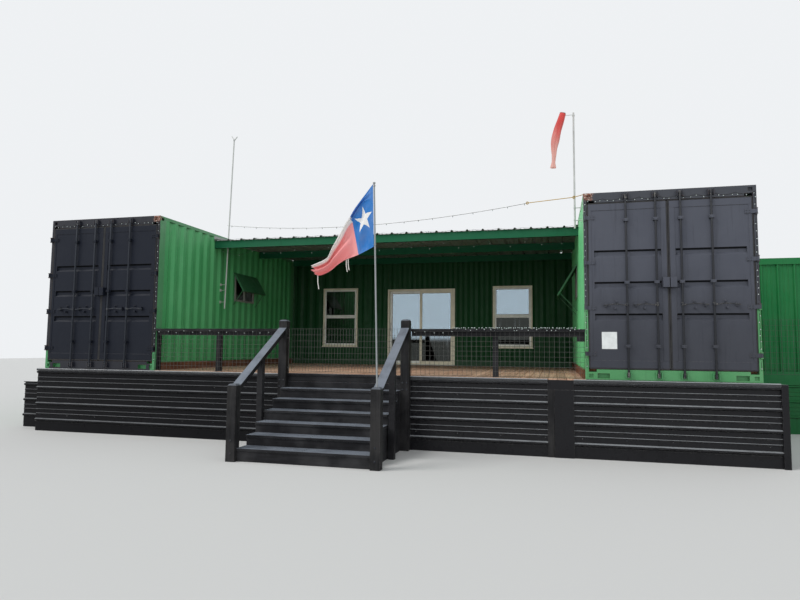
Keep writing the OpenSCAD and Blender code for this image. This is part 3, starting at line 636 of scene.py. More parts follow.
def plain_weave(n: Nodes, into: dict[str, Value]) -> dict[str, Value]:
    """The threads of a plain weave, as a height."""
    along, across, _ = n.axes(into["Vector"])
    return {"Height": n.math("SINE", along * into["Threads"]) * n.math("SINE", across * into["Threads"])}


EDGE_WEAR = Effect("edge_wear", rubbed_edges, (("Radius", 0.006), ("Amount", 1.0)))
RAIN = Effect("rain_streaks", rain_streaks, (("Amount", 1.0),))
PATCHES = Effect("patches", blotches, (("Scale", 1.5),))
SPLASH_AND_SHADE = Effect("ground_splash", ground_splash, (("Top", 0.5), ("Depth", 0.5), ("Amount", 1.0)))
SKY = Effect("open_sky", open_sky, (("Amount", 1.0),))
GRAIN = Effect("wood_grain", wood_grain)
WEAVE = Effect("weave", plain_weave, (("Threads", 1400.0),))


@dataclass
class Look:
    """What a finish gives its shader: its inputs, a fine relief, and the share of light let through."""

    inputs: dict[str, object]
    height: Value | None = None
    strength: float = 0.0
    depth: float = 0.0
    through: float = 0.0


@dataclass(frozen=True)
class Finish:
    """A named finish, whose material is made once."""

    name: str
    colour: Colour
    coordinates: ClassVar[str] = "Object"

    def put_on(self, piece: Piece) -> None:
        """Gives a piece this finish alone."""
        piece.data.materials.clear()
        piece.data.materials.append(bpy.data.materials.get(self.name) or self.material())

    def material(self) -> bpy.types.Material:
        """Makes the finish's material.

        Returns:
            The material.
        """
        made = bpy.data.materials.new(self.name)
        made.use_nodes = True
        made.node_tree.nodes.clear()
        n = Nodes(made.node_tree)
        look = self.brush(n, n.out("TexCoord", output=self.coordinates))
        if look.height:
            look.inputs["Normal"] = n.out("Bump", {"Height": look.height, "Strength": look.strength,
                                                   "Distance": look.depth})
        surface = n.out("BsdfPrincipled", look.inputs)
        if look.through:
            glow = n.out("BsdfTranslucent", {"Color": look.inputs["Base Color"]})
            surface = n.out("MixShader", {0: look.through, 1: surface, 2: glow})
        n.add("OutputMaterial", {"Surface": surface})
        return made

    def brush(self, n: Nodes, place: Value) -> Look:
        """What the shader gets; each kind of finish has its own way.

        Args:
            n: The material's nodes.
            place: The piece's coordinates.

        Returns:
            The look.
        """
        raise NotImplementedError


@dataclass(frozen=True)
class ContainerPaint(Finish):
    """Brushed and sprayed paint on steel, chalked by the sun, streaked by rain, rusting at its edges."""

    chalk: float = 1.5
    chalk_share: float = 0.3
    streaks: float = 0.45
    wear: float = 0.6
    worn: Colour = shade(96, 66, 48)
    gloss: float = 0.42
    dents: float = 0.35
    grime: float = 0.3
    grime_top: float = 2.6
    # sky: share of bleaching and painted sky highlight on faces that look up; under: brightness kept on faces that look
    # down, as painted shade.
    sky: float = 0.0
    under: float = 0.6
    shine: float = 0.4

    def brush(self, n: Nodes, place: Value) -> Look:
        """Layers chalk, streaks, a darkening towards the foot, bleached tops with a painted sky highlight, painted
        shade under faces that look down, edge rust and fine dents over the paint's colour.

        Args:
            n: The material's nodes.
            place: The piece's coordinates.

        Returns:
            The look.
        """
        tint = self.coat(n, place)
        tint = n.blend(PATCHES.use(n, place, Scale=1.1)[0] * self.chalk_share, tint, n.tone(tint, self.chalk, 0.8))
        tint = n.blend(RAIN.use(n, place, Amount=self.streaks)[0], tint, n.tone(tint, 0.5))
        # Darker towards the foot: dirt, and on the right cargo doors painted shade over their lower part.
        splash_and_shade = SPLASH_AND_SHADE.use(n, place, Top=self.grime_top, Depth=1.6, Amount=self.grime)[0]
        tint = n.blend(splash_and_shade, tint, n.tone(tint, 0.45, 0.9))
        # Bleaching with a painted sky highlight on faces that look up, and painted shade on faces that look down.
        bleached, under = SKY.use(n, place, Amount=self.sky)
        tint = n.blend(bleached, tint, shade(150, 154, 158))
        tint = n.blend(under, tint, n.tone(tint, self.under))
        specks = n.band(n.noise(place, 60.0, 4.0, 0.7), 0.7, 0.78) * (self.wear * 0.7)
        worn = EDGE_WEAR.use(n, place, Radius=0.007, Amount=self.wear)[0] | specks
        rough = n.band(n.noise(place, 7.0, 4.0), 0.3, 0.7, self.gloss - 0.08, self.gloss + 0.14)
        dent = n.noise(place, 3.2, 2.0) + n.noise(place, 120.0) * 0.04
        return Look({"Base Color": n.blend(worn, tint, self.worn), "Roughness": rough + worn * 0.3,
                     "Specular IOR Level": self.shine}, dent, self.dents, 0.008)

    def coat(self, n: Nodes, place: Value) -> object:
        """The paint's own colour, which a kind of paint may vary by place."""
        return self.colour


@dataclass(frozen=True)
class FramePaint(ContainerPaint):
    """Green frame paint, with the door end's dark paint over its front above a height."""

    dark: Colour = shade(56, 59, 66)
    cut: float = 2.3
    front: float = -3.366
    centre: float = 4.1905
    sill_dark: float = 0.0
    porch_side: float = 0.0
    faded: float = 1.3
    rust_at: Point = (0.0, 0.0, -9.0)
    rust: Colour = shade(116, 68, 50)

    def coat(self, n: Nodes, place: Value) -> object:
        """Dark on the front above the cut, brightened on the porch-side flank as a painted highlight, rusted round one
        corner, green on the rest.

        Args:
            n: The material's nodes.
            place: The piece's coordinates.

        Returns:
            The colour.
        """
        x, y, z = n.axes(place)
        over = z + n.noise(place, 16.0, 3.0) * 0.05 > self.cut
        ahead = y < self.front
        header = n.math("COMPARE", x, self.centre, 1.2) * (y < self.front + 0.17)
        sill = n.math("COMPARE", x, self.centre, 1.13) * ahead * self.sill_dark
        tint = n.blend(over * (ahead | header) | sill, self.colour, self.dark)
        # Painted highlight: the post's flank that faces the porch is brightened.
        flank = n.band((x - self.centre) * self.porch_side, 1.21, 1.217)
        tint = n.blend(flank, tint, n.tone(tint, self.faded, 0.9))
        away = n.out("VectorMath", {0: place, 1: self.rust_at}, "Value", operation="DISTANCE")
        near = n.band(away + n.noise(place, 22.0, 4.0) * 0.14, 0.18, 0.12)
        chips = n.blend(n.band(n.noise(place, 45.0, 4.0), 0.52, 0.6), self.rust, shade(176, 164, 152))
        return n.blend(near, tint, chips)


@dataclass(frozen=True)
class ShelteredFrame(ContainerPaint):
    """Frame paint darkened inside the porch, as painted shade."""

    sheltered: Colour = shade(26, 68, 38)

    def coat(self, n: Nodes, place: Value) -> object:
        """Painted shade: dark on the porch's side between the side containers.

        Args:
            n: The material's nodes.
            place: The piece's coordinates.

        Returns:
            The colour.
        """
        x, y, _ = n.axes(place)
        within = (y < at(0.0, 6.3, 0.0).y) * n.math("COMPARE", x, HOME.x, CABIN.half)
        return n.blend(within, self.colour, self.sheltered)


@dataclass(frozen=True)
class SheetPaint(ContainerPaint):
    """Glossy baked paint on thin ribbed sheet."""

    coat_weight: float = 0.3

    def brush(self, n: Nodes, place: Value) -> Look:
        """Adds a clear gloss to the layers of the container's paint.

        Args:
            n: The material's nodes.
            place: The piece's coordinates.

        Returns:
            The look.
        """
        look = super().brush(n, place)
        look.inputs |= {"Coat Weight": self.coat_weight, "Coat Roughness": 0.18}
        return look


class Lay(Enum):
    """The way a board's grain runs, as how much each axis is stretched."""

    ACROSS = (0.05, 1.0, 1.0)
    AWAY = (1.0, 0.05, 1.0)
    UPRIGHT = (1.0, 1.0, 0.05)


@dataclass(frozen=True)
class Timber(Finish):
    """Weathered boards with grain along their length."""

    grain: Colour = shade(80, 52, 34)
    pale: Colour = shade(190, 170, 150)
    lay: Lay = Lay.ACROSS
    weather: float = 0.3
    tone: float = 0.0
    gloss: float = 0.7
    wear: float = 0.3
    sky: float = 0.0
    shine: float = 0.3

    def brush(self, n: Nodes, place: Value) -> Look:
        """Layers grain, weathering, each board's own tone, bleached tops with a painted sky highlight, and worn edges.

        Args:
            n: The material's nodes.
            place: The piece's coordinates.

        Returns:
            The look.
        """
        lines, relief = GRAIN.use(n, n.stretch(place, *self.lay.value))
        tint = n.blend(lines * 0.7, self.colour, self.grain)
        tint = n.blend(PATCHES.use(n, place, Scale=2.3)[0] * self.weather, tint, self.pale)
        if self.tone:
            chance = n.out("NewGeometry", output="Random Per Island")
            tint = n.tone(tint, n.band(chance, 0.0, 1.0, 1.0 - self.tone, 1.0 + self.tone))
        # Bleached tops with a painted sky highlight, on faces that look up.
        if self.sky:
            tint = n.blend(SKY.use(n, place, Amount=self.sky)[0], tint, shade(140, 148, 160))
        worn = EDGE_WEAR.use(n, place, Radius=0.006, Amount=self.wear)[0]
        return Look({"Base Color": n.blend(worn, tint, self.pale),
                     "Roughness": n.band(relief, 0.3, 0.7, self.gloss - 0.12, self.gloss + 0.12),
                     "Specular IOR Level": self.shine}, relief, 0.45, 0.004)


@dataclass(frozen=True)
class Vinyl(Finish):
    """Extruded window frame, a little dulled in patches and by rain marks."""

    gloss: float = 0.35

    def brush(self, n: Nodes, place: Value) -> Look:
        """Dulls the frame in patches and with rain marks.

        Args:
            n: The material's nodes.
            place: The piece's coordinates.

        Returns:
            The look.
        """
        tint = n.blend(PATCHES.use(n, place, Scale=6.0)[0] * 0.18, self.colour, shade(150, 145, 130))
        tint = n.blend(RAIN.use(n, place, Amount=0.25)[0], tint, shade(120, 114, 100))
        rough = n.band(n.noise(place, 12.0), 0.3, 0.7, self.gloss - 0.08, self.gloss + 0.12)
        return Look({"Base Color": tint, "Roughness": rough}, n.noise(place, 160.0, 2.0), 0.12, 0.001)


@dataclass(frozen=True)
class Glass(Finish):
    """Coated window glass, its reflection darkened in its lower and its left panes as painted shade, with faint rain
    marks.
    """

    mirror: float = 0.55
    low_tint: Colour = shade(56, 60, 56)
    left_tint: Colour = shade(104, 108, 102)
    left_until: float = -2.5
    right_from: float = 0.6
    right_top: float = 2.5
    low_top: float = 1.9

    def brush(self, n: Nodes, place: Value) -> Look:
        """Sets a partly mirrored pane, darkens its reflection by place as painted shade and dulls it slightly in
        streaks.

        Args:
            n: The material's nodes.
            place: The piece's coordinates.

        Returns:
            The look.
        """
        rain = RAIN.use(n, place, Amount=0.5)[0]
        x, _, z = n.axes(place)
        low = n.band(z, self.low_top + 0.1, self.low_top - 0.1)
        # Painted shade: darker reflections in the lower panes, the right window's lower part and the left window.
        tint = n.blend((x > self.right_from) * (z < self.right_top) | low, self.colour, self.low_tint)
        tint = n.blend(x < self.left_until, tint, self.left_tint)
        return Look({"Base Color": n.blend(rain, tint, shade(176, 186, 190)),
                     "Roughness": n.band(rain, 0.0, 1.0, 0.02, 0.12), "Metallic": self.mirror,
                     "Transmission Weight": 1.0, "IOR": 1.5})


@dataclass(frozen=True)
class BareSteel(Finish):
    """Galvanised or painted steel wire and tube, slightly spangled."""

    metal: float = 0.8
    stained: float = 0.5

    def brush(self, n: Nodes, place: Value) -> Look:
        """Mottles the metal and stains it where water stands.

        Args:
            n: The material's nodes.
            place: The piece's coordinates.

        Returns:
            The look.
        """
        fine = n.out("SeparateColor", {0: n.out("TexVoronoi", {"Vector": place, "Scale": 90.0}, "Color")})
        stain = shade(96, 92, 86)
        tint = n.blend(fine * 0.25, self.colour, stain)
        tint = n.blend(PATCHES.use(n, place, Scale=4.0)[0] * self.stained, tint, stain)
        return Look({"Base Color": tint, "Metallic": self.metal, "Roughness": n.band(fine, 0.0, 1.0, 0.34, 0.56)})


@dataclass(frozen=True)
class BlockWork(Finish):
    """Rough split blocks in courses, with recessed joints."""

    joint: Colour = shade(120, 108, 94)
    course: float = 0.2

    def brush(self, n: Nodes, place: Value) -> Look:
        """Lays the courses by height and roughens each block.

        Args:
            n: The material's nodes.
            place: The piece's coordinates.

        Returns:
            The look.
        """
        level = n.math("FRACT", n.axes(place)[2] / self.course)
        seam = n.band(level, 0.06, 0.02) | n.band(level, 0.94, 0.98)
        tint = n.blend(PATCHES.use(n, place, Scale=5.0)[0] * 0.5, self.colour, shade(84, 66, 54))
        relief = n.noise(place, 38.0, 6.0, 0.7) - seam * 1.2
        return Look({"Base Color": n.blend(seam, tint, self.joint), "Roughness": 0.9}, relief, 0.8, 0.006)


@dataclass(frozen=True)
class PlainPaint(Finish):
    """Thin gloss paint on small parts, chipped at its edges."""

    gloss: float = 0.35
    chipped: Colour = shade(140, 134, 126)
    wear: float = 0.5

    def brush(self, n: Nodes, place: Value) -> Look:
        """Chips the edges and mottles the rest a little.

        Args:
            n: The material's nodes.
            place: The piece's coordinates.

        Returns:
            The look.
        """
        tint = n.blend(PATCHES.use(n, place, Scale=9.0)[0] * 0.5, self.colour, dimmed(self.colour, 0.72))
        worn = EDGE_WEAR.use(n, place, Radius=0.003, Amount=self.wear)[0]
        rough = n.band(n.noise(place, 18.0), 0.3, 0.7, self.gloss - 0.08, self.gloss + 0.16)
        return Look({"Base Color": n.blend(worn, tint, self.chipped), "Roughness": rough},
                    n.noise(place, 90.0), 0.2, 0.001)


@dataclass(frozen=True)
class PoleSet(PlainPaint):
    """Pale paint on the masts, and a greyer one on the flagpole at the foot of the stair."""

    dark: Colour = shade(140, 144, 146)
    front: float = -4.0

    def brush(self, n: Nodes, place: Value) -> Look:
        """Paints what stands before the containers grey.

        Args:
            n: The material's nodes.
            place: The piece's coordinates.

        Returns:
            The look.
        """
        look = super().brush(n, place)
        look.inputs["Base Color"] = n.blend(n.axes(place)[1] < self.front, look.inputs["Base Color"], self.dark)
        return look


@dataclass(frozen=True)
class Rubber(Finish):
    """Dull black sealing rubber, greyed by dust."""

    def brush(self, n: Nodes, place: Value) -> Look:
        """Greys the rubber in patches.

        Args:
            n: The material's nodes.
            place: The piece's coordinates.

        Returns:
            The look.
        """
        patches = PATCHES.use(n, place, Scale=7.0)[0]
        return Look({"Base Color": n.blend(patches * 0.5, self.colour, shade(70, 69, 68)),
                     "Roughness": n.band(patches, 0.0, 1.0, 0.6, 0.85)}, n.noise(place, 200.0), 0.2, 0.0006)


@dataclass(frozen=True)
class BulbGlass(Finish):
    """Small frosted bulbs that are switched off, pale and shiny."""

    def brush(self, n: Nodes, place: Value) -> Look:
        """Clouds the frosted glass slightly.

        Args:
            n: The material's nodes.
            place: The piece's coordinates.

        Returns:
            The look.
        """
        cloud = n.noise(place, 40.0)
        return Look({"Base Color": n.blend(cloud, self.colour, shade(176, 186, 182)),
                     "Roughness": n.band(cloud, 0.3, 0.7, 0.16, 0.3), "Coat Weight": 0.6})


@dataclass(frozen=True)
class Rope(Finish):
    """Laid rope, its strands shown by slanted bands."""

    strands: float = 420.0

    def brush(self, n: Nodes, place: Value) -> Look:
        """Shades the strands and dulls the fibre.

        Args:
            n: The material's nodes.
            place: The piece's coordinates.

        Returns:
            The look.
        """
        x, _, z = n.axes(place)
        strand = n.math("SINE", x * self.strands + z * self.strands)
        # Painted shade: the creases between the strands are darker.
        tint = n.blend(n.band(strand, -1.0, 1.0), dimmed(self.colour, 0.55), self.colour)
        return Look({"Base Color": tint, "Roughness": 0.9}, strand, 0.5, 0.001)


@dataclass(frozen=True)
class FlagCloth(Finish):
    """Dyed cloth in a third and two bands, with a star in the third, by the cloth's own flat place."""

    # Painted light: the blue and the pink of the faded red are brightened beyond the cloth's colour, standing for the
    # backlit flag.
    blue: Colour = shade(30, 124, 206)
    red: Colour = shade(255, 162, 162)
    star: float = 0.2
    long: float = 1.524
    wide: float = 0.914
    coordinates: ClassVar[str] = "UV"

    def brush(self, n: Nodes, place: Value) -> Look:
        """Lays out the bands and the star, then fades and roughens the cloth.

        Args:
            n: The material's nodes.
            place: The piece's coordinates.

        Returns:
            The look.
        """
        u, v, _ = n.axes(place)
        tint = n.blend(v < 0.5, self.colour, self.red)
        tint = n.blend(u < 1 / 3, tint, self.blue)
        tint = n.blend(self.star_mask(n, u, v), tint, self.colour)
        fade = n.band(n.noise(n.stretch(place, 3.0, 2.0, 1.0), 1.6, 3.0), 0.3, 0.75, 0.0, 0.16)
        threads = WEAVE.use(n, n.stretch(place, self.long, self.wide, 1.0))[0]
        return Look({"Base Color": n.blend(fade, tint, shade(220, 200, 200)), "Roughness": 0.75,
                     "Sheen Weight": 0.25}, threads, 0.15, 0.0006, 0.3)

    def star_mask(self, n: Nodes, u: Value, v: Value) -> Value:
        """One inside a five-pointed star in the middle of the blue third, and nought outside it.

        Args:
            n: The material's nodes.
            u: The share along the cloth.
            v: The share up the cloth.

        Returns:
            The mask.
        """
        x, y = (u - 1 / 6) * self.long, (v - 0.5) * self.wide
        radius = n.math("SQRT", x * x + y * y)
        half_point = math.tau / 10
        bend = n.math("ABSOLUTE", n.math("WRAP", n.math("ARCTAN2", x, y), half_point, -half_point))
        inner = 0.382 * self.star
        slope = inner * math.sin(half_point) / (self.star - inner * math.cos(half_point))
        edge = (self.star - radius * n.math("COSINE", bend)) * slope
        return radius * n.math("SINE", bend) < edge


@dataclass(frozen=True)
class SockCloth(Finish):
    """Windsock cloth, bleached towards its tail."""

    bleached: Colour = shade(236, 186, 176)
    coordinates: ClassVar[str] = "UV"

    def brush(self, n: Nodes, place: Value) -> Look:
        """Fades the colour down the tube and streaks it along its pleats.

        Args:
            n: The material's nodes.
            place: The piece's coordinates.

        Returns:
            The look.
        """
        cloud = n.noise(n.stretch(place, 8.0, 2.0, 1.0), 2.0, 4.0) * 0.5
        fade = n.band(n.axes(place)[1] + cloud, 0.4, 1.05)
        return Look({"Base Color": n.blend(fade, self.colour, self.bleached), "Roughness": 0.8,
                     "Sheen Weight": 0.3}, WEAVE.use(n, place, Threads=900.0)[0], 0.15, 0.0006, 0.35)


class Paint:
    """Every finish on the cabin, by its use."""

    wall_green = ContainerPaint("wall green", shade(66, 140, 88))
    # Painted light: a brighter copy of the wall green for the lit porch wall of the left container.
    left_wall = ContainerPaint("left porch wall green", shade(76, 164, 102), chalk_share=0.2, streaks=0.3, grime=0.1)
    # Painted sheen: a brighter copy of the wall green for the right container's porch wall.
    right_wall = ContainerPaint(
        "right porch wall green", shade(104, 200, 132), chalk_share=0.2, streaks=0.3, gloss=0.36, grime=0.1, shine=0.9)
    # Painted shade: a darker copy of the wall green for the porch's back wall.
    porch_green = ContainerPaint(
        "porch back wall green", shade(26, 68, 38), chalk=1.3, chalk_share=0.2, grime=0.1, shine=0.2)
    rear_frame = ShelteredFrame("rear frame green", shade(66, 140, 88))
    # Painted shade: a darker copy of the wall green for the shaded underside of the hatch flaps.
    flap_green = ContainerPaint("hatch flap green", shade(48, 104, 68), grime=0.0)
    roof_green = ContainerPaint(
        "container roof green", shade(58, 118, 78), chalk_share=0.5, streaks=0.0, wear=0.8, grime=0.0)
    fascia_green = ContainerPaint(
        "fascia green", shade(22, 92, 62), chalk=1.3, chalk_share=0.15, streaks=0.3, wear=0.3, grime=0.0, shine=0.2)
    wing_green = ContainerPaint(
        "wing wall green", shade(22, 106, 56), chalk=1.3, chalk_share=0.25, streaks=0.35, wear=0.4, grime=0.6,
        grime_top=1.9, shine=0.2)
    right_frame = FramePaint(
        "right frame paint", shade(72, 136, 86), chalk_share=0.25, wear=0.8, grime=0.0, porch_side=-1.0, faded=2.0,
        rust_at=tuple(at(3.87, 0.0, 4.06)))
    left_frame = FramePaint(
        "left frame paint", shade(64, 132, 84), chalk_share=0.22, dark=shade(24, 26, 35), cut=1.56, centre=-5.8675,
        wear=0.8, grime=0.0, sill_dark=1.0, porch_side=1.0, rust_at=tuple(at(-3.87, 0.0, 4.06)))
    keepers = FramePaint(
        "door keeper paint", shade(64, 130, 84), chalk_share=0.22, dark=shade(42, 44, 52), centre=-5.8675,
        sill_dark=1.0, grime=0.0)
    # Painted shade: the darkening towards the foot of these doors and the near-black faces under their grooves.
    right_doors = ContainerPaint(
        "right cargo door paint", shade(74, 77, 87), chalk=1.35, streaks=0.4, wear=0.35, worn=shade(120, 116, 112),
        gloss=0.46, grime=0.7, grime_top=3.2, under=0.08, shine=0.2)
    # Painted shadow: the faces under the grooves are nearly black.
    left_doors = ContainerPaint(
        "left cargo door paint", shade(26, 30, 40), chalk=1.4, streaks=0.4, wear=0.3, worn=shade(96, 94, 94),
        gloss=0.46, under=0.1, shine=0.15)
    right_rods = ContainerPaint(
        "right lock rod paint", shade(38, 40, 45), chalk=1.7, streaks=0.2, wear=0.9, worn=shade(150, 146, 140),
        shine=0.25)
    left_rods = ContainerPaint(
        "left lock rod paint", shade(40, 44, 52), chalk=1.7, streaks=0.2, wear=0.8, worn=shade(130, 128, 126),
        grime=0.2, shine=0.2)
    # Both skirting finishes: the sky share paints a highlight on the ribs' upper slopes, and the second is a darker
    # copy as painted shade.
    skirt_black = SheetPaint(
        "black skirting sheet", shade(24, 24, 27), streaks=0.4, wear=0.5, worn=shade(112, 110, 108), gloss=0.3,
        dents=0.6, grime_top=0.5, sky=0.7, shine=0.15, coat_weight=0.12)
    skirt_shade = SheetPaint(
        "black skirting sheet in shade", shade(15, 15, 18), streaks=0.4, wear=0.4, worn=shade(100, 98, 96), gloss=0.34,
        dents=0.6, grime_top=0.5, sky=0.4, shine=0.1, coat_weight=0.06)
    # Painted highlight: the sky share lights the cap's top faces.
    cap_black = SheetPaint(
        "black skirting cap", shade(44, 45, 48), streaks=0.2, worn=shade(150, 150, 150), gloss=0.28, grime=0.0, sky=1.0)
    roof_sheet = SheetPaint(
        "porch roof sheet", shade(150, 158, 152), chalk=1.15, streaks=0.0, wear=0.2, gloss=0.36, dents=0.3, grime=0.0)
    # The black timbers' sky share paints a highlight, with some bleaching, on their top faces.
    stair_black = Timber(
        "black stair timber", shade(34, 34, 37), grain=shade(20, 20, 21), pale=shade(110, 110, 112), weather=0.14,
        gloss=0.6, wear=0.6, sky=0.6, shine=0.12)
    rail_black = Timber(
        "black railing timber", shade(30, 30, 33), grain=shade(22, 22, 24), pale=shade(104, 104, 106), weather=0.12,
        gloss=0.5, wear=0.5, sky=0.65, shine=0.12)
    post_black = Timber(
        "black post timber", shade(38, 38, 40), grain=shade(20, 20, 21), pale=shade(100, 98, 96), lay=Lay.UPRIGHT,
        weather=0.14, gloss=0.55, wear=0.5, sky=0.35, shine=0.12)
    deck_brown = Timber(
        "worn deck boards", shade(198, 158, 132), grain=shade(128, 90, 66), pale=shade(204, 180, 160), lay=Lay.AWAY,
        weather=0.4, tone=0.14, gloss=0.68, wear=0.35)
    frame_brown = Timber("deck joists", shade(150, 116, 84), grain=shade(104, 74, 50), lay=Lay.AWAY, weather=0.2)
    floor_brown = Timber(
        "container floor boards", shade(142, 104, 72), grain=shade(96, 66, 44), lay=Lay.AWAY, weather=0.2)
    kick_red = Timber(
        "red brown boards", shade(120, 76, 56), grain=shade(80, 46, 34), pale=shade(160, 124, 100), lay=Lay.AWAY,
        gloss=0.6)
    piers = BlockWork("rough pier blocks", shade(122, 96, 78))
    almond = Vinyl("almond window vinyl", shade(232, 224, 202))
    white = Vinyl("white window vinyl", shade(240, 240, 236))
    # Painted shade: a grey copy of white vinyl for the shaded hatch frames.
    hatch_vinyl = Vinyl("hatch window vinyl", shade(140, 144, 138))
    blind = Vinyl("blind slats", shade(222, 208, 184), gloss=0.5)
    glass = Glass("window glass", shade(186, 202, 212))
    dark_wire = BareSteel("dark wire", shade(78, 80, 80), metal=0.6)
    bright_wire = BareSteel("bright wire", shade(186, 188, 186), stained=0.25)
    plate_white = PlainPaint("white plate paint", shade(222, 226, 226))
    poles = PoleSet("mast and pole paint", shade(196, 198, 196))
    rubber = Rubber("door seal rubber", shade(28, 28, 31))
    bulb = BulbGlass("frosted bulb glass", shade(196, 208, 208))
    rope = Rope("yellow rope", shade(206, 168, 74))
    thread = Rope("white hem thread", shade(240, 238, 232))
    flag = FlagCloth("flag cloth", shade(250, 249, 247))
    sock = SockCloth("windsock cloth", shade(222, 88, 84))


NODE_FINISH: tuple[tuple[Finish, str], ...] = (
    (Paint.left_frame, "left_frame"), (Paint.right_frame, "right_frame"), (Paint.rear_frame, "rear_frame"),
    (Paint.wall_green, "left_outer_wall right_outer_wall side_end_walls rear_back_wall rear_end_walls"),
    (Paint.left_wall, "left_porch_wall"), (Paint.right_wall, "right_porch_wall"),
    (Paint.porch_green, "rear_front_wall_left rear_front_wall_right rear_lintel"),
    (Paint.roof_green, "container_roofs"), (Paint.floor_brown, "container_floors"), (Paint.keepers, "door_keepers"),
    (Paint.left_doors, "left_outer_leaf left_inner_leaf"), (Paint.right_doors, "right_outer_leaf right_inner_leaf"),
    (Paint.left_rods, "left_rod_1 left_rod_2 left_rod_3 left_rod_4"),
    (Paint.right_rods, "right_rod_1 right_rod_2 right_rod_3 right_rod_4"),
    (Paint.almond, "window_frames patio_frame"), (Paint.white, "patio_slider"),
    (Paint.glass, "window_glass patio_slider_glass"), (Paint.hatch_vinyl, "hatch_frames"),
    (Paint.flap_green, "hatch_flaps"), (Paint.deck_brown, "deck_boards"), (Paint.frame_brown, "deck_frame deck_posts"),
    (Paint.kick_red, "kick_boards"), (Paint.piers, "piers"), (Paint.skirt_shade, "skirt_left"),
    (Paint.skirt_black, "skirt_right skirt_sides"), (Paint.stair_black, "stair_treads stair_risers stair_carriages"),
    (Paint.post_black, "newels"), (Paint.rail_black, "handrails"),
    (Paint.dark_wire, "mesh_left mesh_right wire_gate gate_eyes wing_trellis"), (Paint.roof_sheet, "porch_roof_sheet"),
    (Paint.fascia_green, "porch_roof_beams"), (Paint.wing_green, "wing_wall wing_frame"), (Paint.poles, "poles"),
    (Paint.sock, "flags"),
)


def dress_model() -> None:
    """Puts a finish on each of the model's own parts."""
    for finish, names in NODE_FINISH:
        for name in names.split():
            finish.put_on(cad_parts[name])
    LOG.info("finishes on %d parts of the model", len(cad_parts))


@dataclass(frozen=True)
class DoorMeasures:
    """Measures of a pair of cargo doors, across from the seam and up from the container's base."""

    seam: float = 0.006
    hinge: float = 1.164
    low: float = 0.162
    top: float = 2.733
    rod_y: float = -0.04
    rod_r: float = 0.0165
    rods: Pair = (0.175, 0.6)
    handle_z: float = 1.14
    handle_l: float = 0.35
    brackets: Point = (0.492, 1.4575, 2.423)
    hinges: tuple[float, ...] = (0.392, 1.0957, 1.7993, 2.503)


DOOR = DoorMeasures()


@dataclass
class DoorPart:
    """Anything that is placed on one leaf of a pair of cargo doors."""

    side: Side
    outer: bool
    paint: Finish

    @property
    def leaf(self) -> str:
        """The name of the leaf's body."""
        return f"{self.side.word}_{'outer' if self.outer else 'inner'}_leaf"

    def place(self, across: float, y: float, z: float) -> Vector:
        """A place given across from the seam, back from the container front and up from its base."""
        out = CABIN.box_w / 2 + (across if self.outer else -across)
        return at(self.side.value * (CABIN.half + out), y, CABIN.base + z)

    def bar(self, name: str, across: Pair, y: Pair, z: Pair) -> Piece:
        """A block between two places on the leaf."""
        return block(name, self.place(across[0], y[0], z[0]), self.place(across[1], y[1], z[1]))


